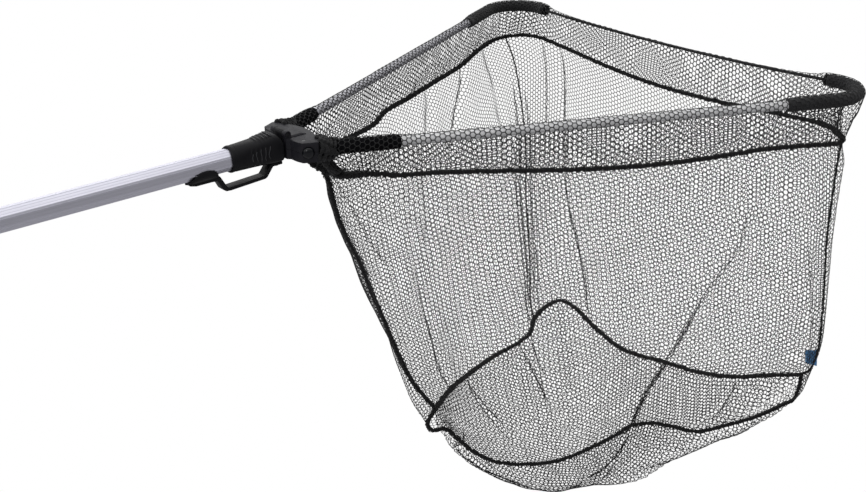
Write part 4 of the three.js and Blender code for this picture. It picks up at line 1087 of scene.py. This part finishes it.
def bottom_place(bag, seed, pull=1.6, swell=2.0):
    def place(x, y):
        xw = x + wander(x, y, seed, pull)
        yw = y + wander(x, y, seed + 1, pull)
        az, k, share = bag.flat(xw, yw)
        q = np.stack([x, y], -1) / 1000.0
        edge = np.clip((1 - k) * 8, 0, 1)
        soft = swell * smooth_noise(q, seed + 2, ((9, 1.0), (20, 0.4))) * edge
        for a0, w, amp, r0 in bag.folds:
            da = np.mod(az - a0 + np.pi, 2 * np.pi) - np.pi
            arc = da * np.hypot(xw, yw)
            soft = soft + amp * np.exp(-(arc / w) ** 2) * smooth((k - r0) / 0.25) * np.clip((1 - k) * 14, 0, 1)
        e = 2e-3
        p = bag.surface(az, k)
        da_ = bag.surface(az + e, k) - bag.surface(az - e, k)
        k2 = np.clip(k, 0.02, 0.98)
        dk_ = bag.surface(az, k2 + e) - bag.surface(az, k2 - e)
        n = np.cross(da_, dk_)
        n /= np.linalg.norm(n, axis=-1, keepdims=True) + 1e-12
        n = n * np.where((n * (p - np.array([392, -62, -300.0]))).sum(-1, keepdims=True) < 0, -1, 1)
        return p + n * soft[..., None], n, np.full_like(share, 0.5), np.clip(share, 0.001, 2)
    return place


def top_line():
    """Right arm from its binding out to the tip, over the cord, and back along the left arm; with the tunnel's radius there."""
    s = np.linspace(19, ARM_LEN + 3, 240)
    even = lambda r: np.convolve(np.r_[[r[0]] * 4, r, [r[-1]] * 4], np.ones(9) / 9, "valid")
    r = even(np.where((s > 21) & (s < 99), 8.6, np.where(s > 529, 8.7, 6.3)))
    rl = even(np.where((s > 21) & (s < 82), 8.6, np.where(s > 511, 8.7, 6.3)))
    right, left = arm_point(s, 0, -1), arm_point(s, 0, 1)
    u = np.linspace(0.015, 0.985, 120)
    b = 4 * u * (1 - u)
    cord = np.stack([587.5 - 1.5 * b, -230.5 * (1 - 2 * u), -5 * b], -1)
    rc = 2.6 + 4.5 * np.exp(-u / 0.05) + 4.5 * np.exp(-(1 - u) / 0.05)
    P = np.vstack([right, cord, left[::-1]])
    return P, np.r_[r, rc, rl[::-1]]


class Band:
    """The folded-over double band: from the seam up outside the arm or cord, over it and down inside to the seam again."""

    def __init__(self, seams, m=720, cross=30):
        P, R = top_line()
        s = np.r_[0, np.cumsum(np.linalg.norm(np.diff(P, axis=0), axis=1))]
        self.L = s[-1]
        t = np.linspace(0, self.L, m)
        A = np.stack([np.interp(t, s, P[:, k]) for k in range(3)], -1)
        r = np.interp(t, s, R)
        B = np.vstack([Line(seams[0]).P, Line(seams[1]).P[1:], Line(seams[2]).P[::-1][1:]])
        bl = Line(B, smooth=False)
        g = np.linspace(0, 1, 1600)
        Bg = bl.at(g)
        # the seam point under each top point: nearest in plan, kept in order and evened out
        d = np.linalg.norm(A[:, None, :2] - Bg[None, :, :2], axis=-1)
        lo, hi = int(0.42 * m), int(0.58 * m)
        idx = np.argmin(d, 1).astype(float)
        idx = np.maximum.accumulate(idx)
        w = 25
        pad = np.r_[np.full(w, idx[0]), idx, np.full(w, idx[-1])]
        idx = np.convolve(pad, np.ones(2 * w + 1) / (2 * w + 1), "valid")
        f = idx / 1599.0
        self.f = f
        S = bl.at(f)
        self.A, self.S, self.r = A, S, r
        T = np.gradient(A, axis=0)
        T /= np.linalg.norm(T, axis=1, keepdims=True)
        D = S - A
        dist = np.linalg.norm(D, axis=1)
        D = D / dist[:, None]
        N = np.cross(T, D)
        N /= np.linalg.norm(N, axis=1, keepdims=True)
        c = np.array([330.0, 0, 0])
        sgn = np.sign((N * (A - c)).sum(1))
        N = N * np.where(sgn == 0, 1, sgn)[:, None]
        D2 = np.cross(N, T)                      # square to both, so the roll over the arm stays round
        D2 *= np.sign((D2 * D).sum(1))[:, None]
        G = []
        q = np.linspace(0, 1, cross)
        sag = 2.6 * (1 + 0.7 * smooth_noise(t / 1000.0, 31, ((6, 1.0), (15, 0.5))))
        sag2 = 2.2 * (1 + 0.7 * smooth_noise(t / 1000.0, 37, ((7, 1.0), (16, 0.5))))
        for i in range(m):
            a = math.acos(min(0.95, r[i] / max(dist[i], r[i] + 1)))
            arc = np.linspace(a, 2 * math.pi - a, 15)       # angle from D towards N
            ring = A[i] + r[i] * (np.cos(arc)[:, None] * D2[i] + np.sin(arc)[:, None] * N[i])
            so, si = S[i] + N[i] * 1.3, S[i] - N[i] * 1.3
            k = np.linspace(0, 1, 14)[:, None]
            up = so + (ring[0] - so) * k + N[i] * sag[i] * 4 * k * (1 - k)
            down = ring[-1] + (si - ring[-1]) * k - N[i] * sag2[i] * 4 * k * (1 - k)
            line = np.vstack([up, ring[1:-1], down])
            ls = np.r_[0, np.cumsum(np.linalg.norm(np.diff(line, axis=0), axis=1))]
            G.append(np.stack([np.interp(q * ls[-1], ls, line[:, c_]) for c_ in range(3)], -1))
        self.G = np.array(G)
        self.H = np.linalg.norm(np.diff(self.G, axis=1), axis=-1).sum(1)
        du = np.gradient(self.G, axis=0)
        dv = np.gradient(self.G, axis=1)
        n = np.cross(du, dv)
        n /= np.linalg.norm(n, axis=-1, keepdims=True) + 1e-12
        self.N = n
        self.m, self.cross = m, cross

    def grid(self, G, u, v):
        x, y = np.clip(u, 0, 1) * (self.m - 1), np.clip(v, 0, 1) * (self.cross - 1)
        i, j = np.minimum(x.astype(int), self.m - 2), np.minimum(y.astype(int), self.cross - 2)
        a, b = (x - i)[..., None], (y - j)[..., None]
        return (G[i, j] * (1 - a) + G[i + 1, j] * a) * (1 - b) + (G[i, j + 1] * (1 - a) + G[i + 1, j + 1] * a) * b

    def place(self, seed):
        def place(x, y):
            xw = x + wander(x, y, seed, 2.2)
            u = xw / self.L
            H = np.interp(np.clip(u, 0, 1), np.linspace(0, 1, self.m), self.H)
            v = (y + wander(x, y, seed + 1, 1.6)) / H + 0.5
            P = self.grid(self.G, u, v)
            N = self.grid(self.N, u, v)
            q = np.stack([x, y], -1) / 1000.0
            flat_part = np.clip(np.abs(v - 0.5) * 8 - 1.4, 0, 1) * np.clip((0.5 - np.abs(v - 0.5)) * 12, 0, 1)
            soft = 1.3 * smooth_noise(q, seed + 2, ((18, 1.0), (40, 0.5))) * flat_part
            return P + N * soft[..., None], N, u, v
        return place


wall_right = Wall(BAND_R, FOOT_R, CORNER_REAR, CORNER_RIGHT, (0.1, -1, 0), 12, RIDGES_R, PLEATS_R)
wall_left = Wall(BAND_L, FOOT_L, CORNER_REAR, CORNER_LEFT, (-0.1, 1, 0), LEFT_BULGE, RIDGES_L, PLEATS_L)
wall_front = Wall(BAND_F, FOOT_F, CORNER_RIGHT, CORNER_LEFT, (1, 0, 0), front_bulge, RIDGES_F, PLEATS_F)
bottom = Bottom(FOLDS_B)
band = Band((BAND_R, BAND_F, BAND_L))

# Inward directions from each arm, and lines 16 mm in from the arm pivots; each half of the bag rides on its own arm.
IN_R = np.array([math.sin(ARM), math.cos(ARM), 0.0])
IN_L = np.array([math.sin(ARM), -math.cos(ARM), 0.0])
LINE_R = np.array([0, -PIVOT_Y, 0]) + IN_R * 16
LINE_L = np.array([0, PIVOT_Y, 0]) + IN_L * 16


def soft_half(o, side, slot="netting"):
    ride(o, "arm_right" if side < 0 else "arm_left", slot)
    n, at = (IN_R, LINE_R) if side < 0 else (IN_L, LINE_L)
    tuple(n)
    tuple(row(at))
    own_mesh(o)
    return o


STRAND = 2 * 1.155 * math.hypot(0.46, 0.34) * 10.39 / (6 * 1.5 * HEX) / 2 * 1.0     # share of the cut that is thread


def net_piece(name, place, x0, x1, y0, y1, keep=None, w=0.50, t=0.36):
    v, f = honeycomb(place, x0, x1, y0, y1, w, t, keep)
    o = make(name, v, f, NETTING, True)
    print(name, len(f) * 2, "triangles")
    return o


right_of = lambda mid, cu, cv: mid[:, 1] < 0
left_of = lambda mid, cu, cv: mid[:, 1] >= 0
W_, H_ = 420, 470
o = net_piece("net_wall_right", panel_place(wall_right, 101), -W_, W_, 0, H_)
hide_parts("net_panel_right"); soft_half(o, -1)
o = net_piece("net_wall_left", panel_place(wall_left, 111), -W_, W_, 0, H_, w=0.53)
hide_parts("net_panel_left"); soft_half(o, 1)
for side, nm, keep in ((-1, "right", right_of), (1, "left", left_of)):
    o = net_piece("net_front_" + nm, panel_place(wall_front, 121), -W_, W_, 0, H_, keep)
    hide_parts("net_panel_front"); soft_half(o, side)
    o = net_piece("net_bottom_" + nm, bottom_place(bottom, 131), -380, 380, -380, 380, keep, 0.64, 0.40)
    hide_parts("net_bottom"); soft_half(o, side)
ARM_SHARE = (ARM_LEN + 3 - 19) / band.L
o = net_piece("net_band_right", band.place(141), 0, band.L, -110, 110, lambda mid, cu, cv: cu < ARM_SHARE)
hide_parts("net_band"); ride(o, "arm_right", "netting")
o = net_piece("net_band_left", band.place(141), 0, band.L, -110, 110, lambda mid, cu, cv: cu > 1 - ARM_SHARE, 0.64)
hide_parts("net_band"); ride(o, "arm_left", "netting")
o = net_piece("net_band_front_right", band.place(141), 0, band.L, -110, 110, lambda mid, cu, cv: (cu >= ARM_SHARE) & (cu < 0.5))
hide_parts("net_band"); soft_half(o, -1)
o = net_piece("net_band_front_left", band.place(141), 0, band.L, -110, 110, lambda mid, cu, cv: (cu <= 1 - ARM_SHARE) & (cu >= 0.5))
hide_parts("net_band"); soft_half(o, 1)


# ------------------------------------------------------------------ seams
def seam(name, pts, side, half=2.3, thick=1.35, seed=1, soft=True, smooth_line=True, swell=0.0):
    """A rolled seam: an uneven flattened roll of netting overcast with thread."""
    line = Line(pts, smooth=smooth_line)
    n = max(8, int(line.L / 1.6))
    t = np.linspace(0, 1, n)
    P = line.at(t)
    s = t * line.L
    k = (1 + 0.24 * smooth_noise(s / 10.0, seed, ((1.1, 1.0), (2.9, 0.8)))) * (1 + swell * np.exp(-(s / 55.0) ** 2))
    P = P + np.stack([smooth_noise(s / 30.0, seed + 3 + c, ((1.2, 0.4),)) for c in range(3)], -1) * 0.8
    a = np.arange(10) * 2 * np.pi / 10
    lump = 1 + 0.10 * smooth_noise(np.stack([s[:, None] * 0.35 + 0 * a, np.cos(a) + 0 * s[:, None], np.sin(a) + 0 * s[:, None]], -1), seed + 9, ((0.8, 1.0),))
    parts = [tube(P, half * k[:, None] * lump, thick * k[:, None] * lump, 10)]
    # overcast thread
    m = int(line.L / 3.1) * 10
    ts = np.linspace(0, 1, m)
    Q = line.at(ts)
    j = np.clip((ts * (n - 1)).astype(int), 0, n - 1)
    T, S, U = frames_along(P)
    ph = ts * line.L / 3.1 * 2 * np.pi
    kk = k[j]
    H = P[j] * (1 - (ts * (n - 1) - j))[:, None] + P[np.minimum(j + 1, n - 1)] * (ts * (n - 1) - j)[:, None]
    H = H + S[j] * ((half + 0.25) * kk * np.cos(ph))[:, None] + U[j] * ((thick + 0.25) * kk * np.sin(ph))[:, None]
    parts.append(tube(H, 0.5, n=4, caps=False))
    V, F = join_parts(parts)
    o = make(name, V, F, SEAM)
    if soft:
        soft_half(o, side, "netting")
    else:
        ride(o, "arm_right" if side < 0 else "arm_left", "netting")
    return o


def crease(surface, ctrl, width, strands, seed, r=0.42, lift=0.8):
    """Netting drawn together along a fold: a few threads running side by side, closing up to points at the ends."""
    line = Line([(u, v, 0) for u, v in ctrl])
    m = 90
    t = np.linspace(0, 1, m)
    q = line.at(t)
    P, N = surface(q[:, 0], q[:, 1])
    s = np.r_[0, np.cumsum(np.linalg.norm(np.diff(P, axis=0), axis=1))]
    T = np.gradient(P, axis=0)
    T /= np.linalg.norm(T, axis=1, keepdims=True)
    S = np.cross(T, N)
    ends = np.clip(np.minimum(t, 1 - t) * 7, 0.12, 1)
    parts = []
    for c in range(strands):
        side = (c - (strands - 1) / 2) / max(1, (strands - 1) / 2) * 0.6
        off = width * ends * (side + 0.55 * smooth_noise(s / 14.0, seed * 17 + c, ((0.7, 1.0), (1.7, 0.5))))
        up = lift * (0.5 + 0.5 * smooth_noise(s / 12.0, seed * 29 + c, ((0.8, 1.0),)))
        parts.append(tube(P + S * off[:, None] + N * up[:, None], r * (0.5 + 0.5 * ends) * (1 + 0.25 * smooth_noise(s / 5.0, seed + c, ((1.0, 1.0),))), n=6))
    return parts


def on_bottom(az, k):
    e = 2e-3
    p = bottom.surface(az, k)
    n = np.cross(bottom.surface(az + e, k) - bottom.surface(az - e, k), bottom.surface(az, np.clip(k + e, 0, 1)) - bottom.surface(az, np.clip(k - e, 0, 1)))
    n /= np.linalg.norm(n, axis=-1, keepdims=True) + 1e-12
    return p, n * np.where((n * (p - np.array([392, -62, -300.0]))).sum(-1, keepdims=True) < 0, -1, 1)


def creases(name, side, groups):
    parts = []
    for i, (surface, ctrl, width, strands, r) in enumerate(groups):
        parts += crease(surface, ctrl, width, strands, 7 * i + len(name), r)
    V, F = join_parts(parts)
    return soft_half(make(name, V, F, SEAM), side)


R_, L_, F_ = wall_right.at, wall_left.at, wall_front.at
creases("net_creases_right", -1, (
    (R_, [(0.80, 0.20), (0.785, 0.285), (0.700, 0.45), (0.640, 0.62)], 3.4, 4, 0.20),
    (R_, [(0.70, 0.45), (0.622, 0.68), (0.581, 0.805), (0.542, 0.985)], 3.0, 6, 0.30),
    (R_, [(0.622, 0.69), (0.583, 0.81), (0.545, 0.985)], 2.4, 4, 0.36),
    (R_, [(0.012, 0.03), (0.05, 0.12), (0.085, 0.30)], 2.2, 3, 0.24),
    (R_, [(0.935, 0.35), (0.945, 0.62), (0.93, 0.97)], 2.4, 3, 0.20)))
creases("net_creases_left", 1, (
    (L_, [(0.77, 0.015), (0.745, 0.06), (0.698, 0.13), (0.64, 0.19)], 3.2, 4, 0.22),
    (L_, [(0.345, 0.70), (0.323, 0.83), (0.245, 0.985)], 2.4, 4, 0.30),
    (L_, [(0.982, 0.16), (0.972, 0.5), (0.974, 0.95)], 3.4, 6, 0.28)))
creases("net_creases_front", 1, (
    (F_, [(0.838, 0.012), (0.848, 0.12), (0.859, 0.318), (0.839, 0.65), (0.754, 0.932), (0.732, 0.985)], 2.0, 4, 0.32),
    (F_, [(0.889, 0.012), (0.905, 0.15), (0.922, 0.34)], 2.2, 3, 0.26),
    (F_, [(0.985, 0.20), (0.980, 0.5), (0.978, 0.96)], 3.0, 5, 0.26)))
creases("net_creases_bottom_right", -1, (
    (on_bottom, [(4.60, 0.975), (4.581, 0.85), (4.407, 0.61), (3.95, 0.53)], 2.6, 6, 0.36),
    (on_bottom, [(-0.70, 0.975), (-0.74, 0.90), (-0.838, 0.66)], 2.2, 4, 0.28)))
creases("net_creases_bottom_left", 1, (
    (on_bottom, [(2.62, 0.80), (2.72, 0.76), (2.976, 0.80), (3.05, 0.60), (3.02, 0.47)], 2.6, 5, 0.34),
    (on_bottom, [(2.147, 0.985), (2.08, 0.82), (2.025, 0.62)], 1.8, 4, 0.30),
    (on_bottom, [(1.21, 0.975), (1.17, 0.80), (1.126, 0.66)], 1.8, 3, 0.26),
    (on_bottom, [(1.32, 0.975), (1.26, 0.78), (1.204, 0.55)], 1.8, 4, 0.34)))


def split_at_y0(pts):
    P = Line(pts).P
    i = int(np.argmin(np.abs(P[:, 1])))
    a, b = P[:i + 1], P[i:]
    return (a, b) if P[0, 1] < 0 else (b, a)


seam("seam_band_right", BAND_R, -1, 3.2, 2.3, 1, soft=False, swell=1.0)
seam("seam_band_left", BAND_L, 1, 3.0, 2.1, 2, soft=False, swell=0.9)
fr, fl = split_at_y0(BAND_F)
seam("seam_band_front_right", fr, -1, 2.9, 2.0, 3, smooth_line=False)
seam("seam_band_front_left", fl, 1, 2.9, 2.0, 4, smooth_line=False)
seam("seam_corner_rear", CORNER_REAR, -1, 2.9, 1.9, 5, swell=0.3)
seam("seam_corner_right", CORNER_RIGHT, -1, 1.1, 0.9, 6)
seam("seam_corner_left", CORNER_LEFT, 1, 0.9, 0.8, 7)
seam("seam_foot_right", FOOT_R, -1, 3.1, 2.1, 8)
seam("seam_foot_left", FOOT_L, 1, 3.0, 2.1, 9)
br, bl_ = split_at_y0(FOOT_F)
seam("seam_foot_front_right", br, -1, 3.0, 2.1, 10, smooth_line=False)
seam("seam_foot_front_left", bl_, 1, 3.0, 2.1, 11, smooth_line=False)


# ------------------------------------------------------------------ gathered netting round the arm roots
def gathers(side):
    """Net drawn up and tied round the foot of the arm: two lumpy coils and a thick tail down to the band seam."""
    nm = "right" if side < 0 else "left"
    parts = []
    for c, (s0, rd, rz, fat) in enumerate(((16.0, 11.2, 12.2, 2.1), (19.6, 11.0, 11.8, 2.6), (23.6, 10.0, 10.4, 2.5), (27.6, 9.4, 9.4, 2.1), (31.5, 9.0, 9.0, 1.5))):
        a = np.linspace(0, 2 * np.pi, 90)
        centre = arm_point(np.full(90, s0) + 1.5 * np.sin(a * 2 + c) + 0.8 * np.sin(a * 5 + c), 0.5 if c < 2 else 0, side)
        out = np.stack([-math.sin(ARM) * np.ones(90), side * math.cos(ARM) * np.ones(90), np.zeros(90)], -1)
        lump = 0.5 * np.sin(a * 3 + c * 2)
        P = centre + out * ((rd + lump) * np.cos(a))[:, None] + np.array([0, 0, 1]) * ((rz + lump) * np.sin(a))[:, None]
        k = fat * (1 + 0.22 * np.sin(a * 7 + c) + 0.15 * np.sin(a * 13 + 2 * c))
        parts.append(tube(P, k, k * 0.9, 10, hint=(0.3, 0.2, 1), caps=False))
    end = Line(BAND_R if side < 0 else BAND_L).at(np.array([0.045]))[0]
    st = arm_point(22, 3, side)[0]
    for q in range(6):
        a, b = (q % 3) - 1, q // 3
        P = spline([st + [a * 3 + b * 4, side * (a * 2.5 - b * 2), -5 - b], st + [2 + a * 4 + b * 5, -side * (3 + a + 2 * b), -14 - 3 * b], (st + end) / 2 + [a * 4.5 + b * 3, side * (2 * b - a) * 2.2, -7 - 2 * b], end + [a * 4 + b * 8, side * b * -3, 1.0]], 14)
        t = np.linspace(0, 1, len(P))
        k = (2.9 - 0.35 * q) * (1 + 0.20 * np.sin(t * 21 + q) + 0.14 * np.sin(t * 47 + 2 * q))
        parts.append(tube(P, k, k * 0.8, 10, hint=(1, 0.1, 0.1)))
    V, F = join_parts(parts)
    o = make("net_gather_" + nm, V, F, SEAM)
    ride(o, "arm_" + nm, "netting")


gathers(-1)
gathers(1)


# ------------------------------------------------------------------ fabric tag
def tag():
    """Folded woven label, blank, sewn into the near front corner seam."""
    line = Line(CORNER_RIGHT)
    p = line.at(np.array([0.875]))[0]
    out = np.array([-0.5, 0.866, 0.0])
    up = np.array([0.03, 0.02, 1.0]); up /= np.linalg.norm(up)
    nrm = np.cross(out, up); nrm /= np.linalg.norm(nrm)
    parts = []
    nu, nv = 14, 22
    for sgn in (-1, 1):
        u, v = np.meshgrid(np.linspace(0, 1, nu), np.linspace(0, 1, nv), indexing="ij")
        lift = sgn * (0.35 + 0.55 * np.sin(u * np.pi) * 0.5) + 0.9 * np.sin(v * 5 + 0.4) * u + 0.5 * np.sin(u * 3 + v * 2)
        P = p + out * (-2.4 + 14.0 * u + 1.6 * v)[..., None] + up * ((v - 0.5) * 21 + (1 - 2 * v) * 1.6 * u)[..., None] + nrm * lift[..., None]
        g = np.arange(nu * nv).reshape(nu, nv)
        F = np.stack([g[:-1, :-1], g[1:, :-1], g[1:, 1:], g[:-1, 1:]], -1).reshape(-1, 4)
        parts.append((P.reshape(-1, 3), F if sgn > 0 else F[:, ::-1]))
    V, F = join_parts(parts)
    n = nu * nv
    g0 = np.arange(n).reshape(nu, nv)
    g1 = g0 + n
    loop0 = np.r_[g0[:, 0], g0[-1, 1:], g0[-2::-1, -1], g0[0, -2:0:-1]]
    loop1 = loop0 + n
    ring_f = np.stack([loop0, np.roll(loop0, -1), np.roll(loop1, -1), loop1], -1)
    F = np.vstack([F, ring_f])
    o = make("net_tag_woven", V, F, TAG)
    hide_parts("net_tag")
    soft_half(o, -1, "tag_fabric")


tag()


# ------------------------------------------------------------------ the netting's flat cuts
def declare(o, width, length, cut, strand, rests_on=(), pieces=()):
    """A net's cut is width by length, cut m2 of it inside its outline; the area given is that of its thread. The
    arguments o, width, length and cut are not used.
    """
    share = 4 * math.hypot(*strand) * 10.39 / 2 / (1.5 * HEX * 6.0)
    list(rests_on)
    [bpy.data.objects[p] for p in pieces]


def cut_of(wall):
    W, H = wall.W * 0.001, wall.H * 0.001
    return float(W.max()), float(H.max()), float(W.mean() * H.mean())


for nm, w_, strand, rests, pieces in (("net_wall_right", wall_right, (0.50, 0.36), ["seam_band_right"], ["seam_foot_right", "seam_corner_rear", "net_creases_right"]),
                                      ("net_wall_left", wall_left, (0.53, 0.36), ["seam_band_left"], ["seam_foot_left", "seam_corner_left", "net_creases_left"])):
    a_, b_, c_ = cut_of(w_)
    declare(nm, a_, b_, c_, strand, rests, pieces)
a_, b_, c_ = cut_of(wall_front)
declare("net_front_right", a_ * 0.5, b_, c_ * 0.49, (0.50, 0.36), ["seam_band_front_right"], ["seam_foot_front_right"])
declare("net_front_left", a_ * 0.53, b_, c_ * 0.51, (0.50, 0.36), ["seam_band_front_left"], ["seam_foot_front_left"])
disc = float(0.5 * (0.5 * (bottom.R[1:] ** 2 + bottom.R[:-1] ** 2) * np.diff(bottom.az0)).sum()) * 1e-6
reach = math.sqrt(disc / math.pi)
declare("net_bottom_right", 2 * reach, reach, disc * 0.5, (0.64, 0.40), ["seam_foot_right"], ["net_creases_bottom_right"])
declare("net_bottom_left", 2 * reach, reach, disc * 0.5, (0.64, 0.40), ["seam_foot_left"], ["net_creases_bottom_left"])
half_band = float(band.H.mean()) * 0.001
for nm, share_, strand, on in (("net_band_right", ARM_SHARE, (0.50, 0.36), "arm_tube_right_drawn"), ("net_band_left", ARM_SHARE, (0.64, 0.36), "arm_tube_left_drawn"),
                       ("net_band_front_right", 0.5 - ARM_SHARE, (0.50, 0.36), "front_cord_braided"), ("net_band_front_left", 0.5 - ARM_SHARE, (0.50, 0.36), "front_cord_braided")):
    declare(nm, half_band, share_ * band.L * 0.001, half_band * share_ * band.L * 0.001, strand, [on])


# ------------------------------------------------------------------ size and end
lo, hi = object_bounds()
{"cad": [[float(x) for x in c] for c in cad_box], "visual": [[float(x) for x in lo], [float(x) for x in hi]]}
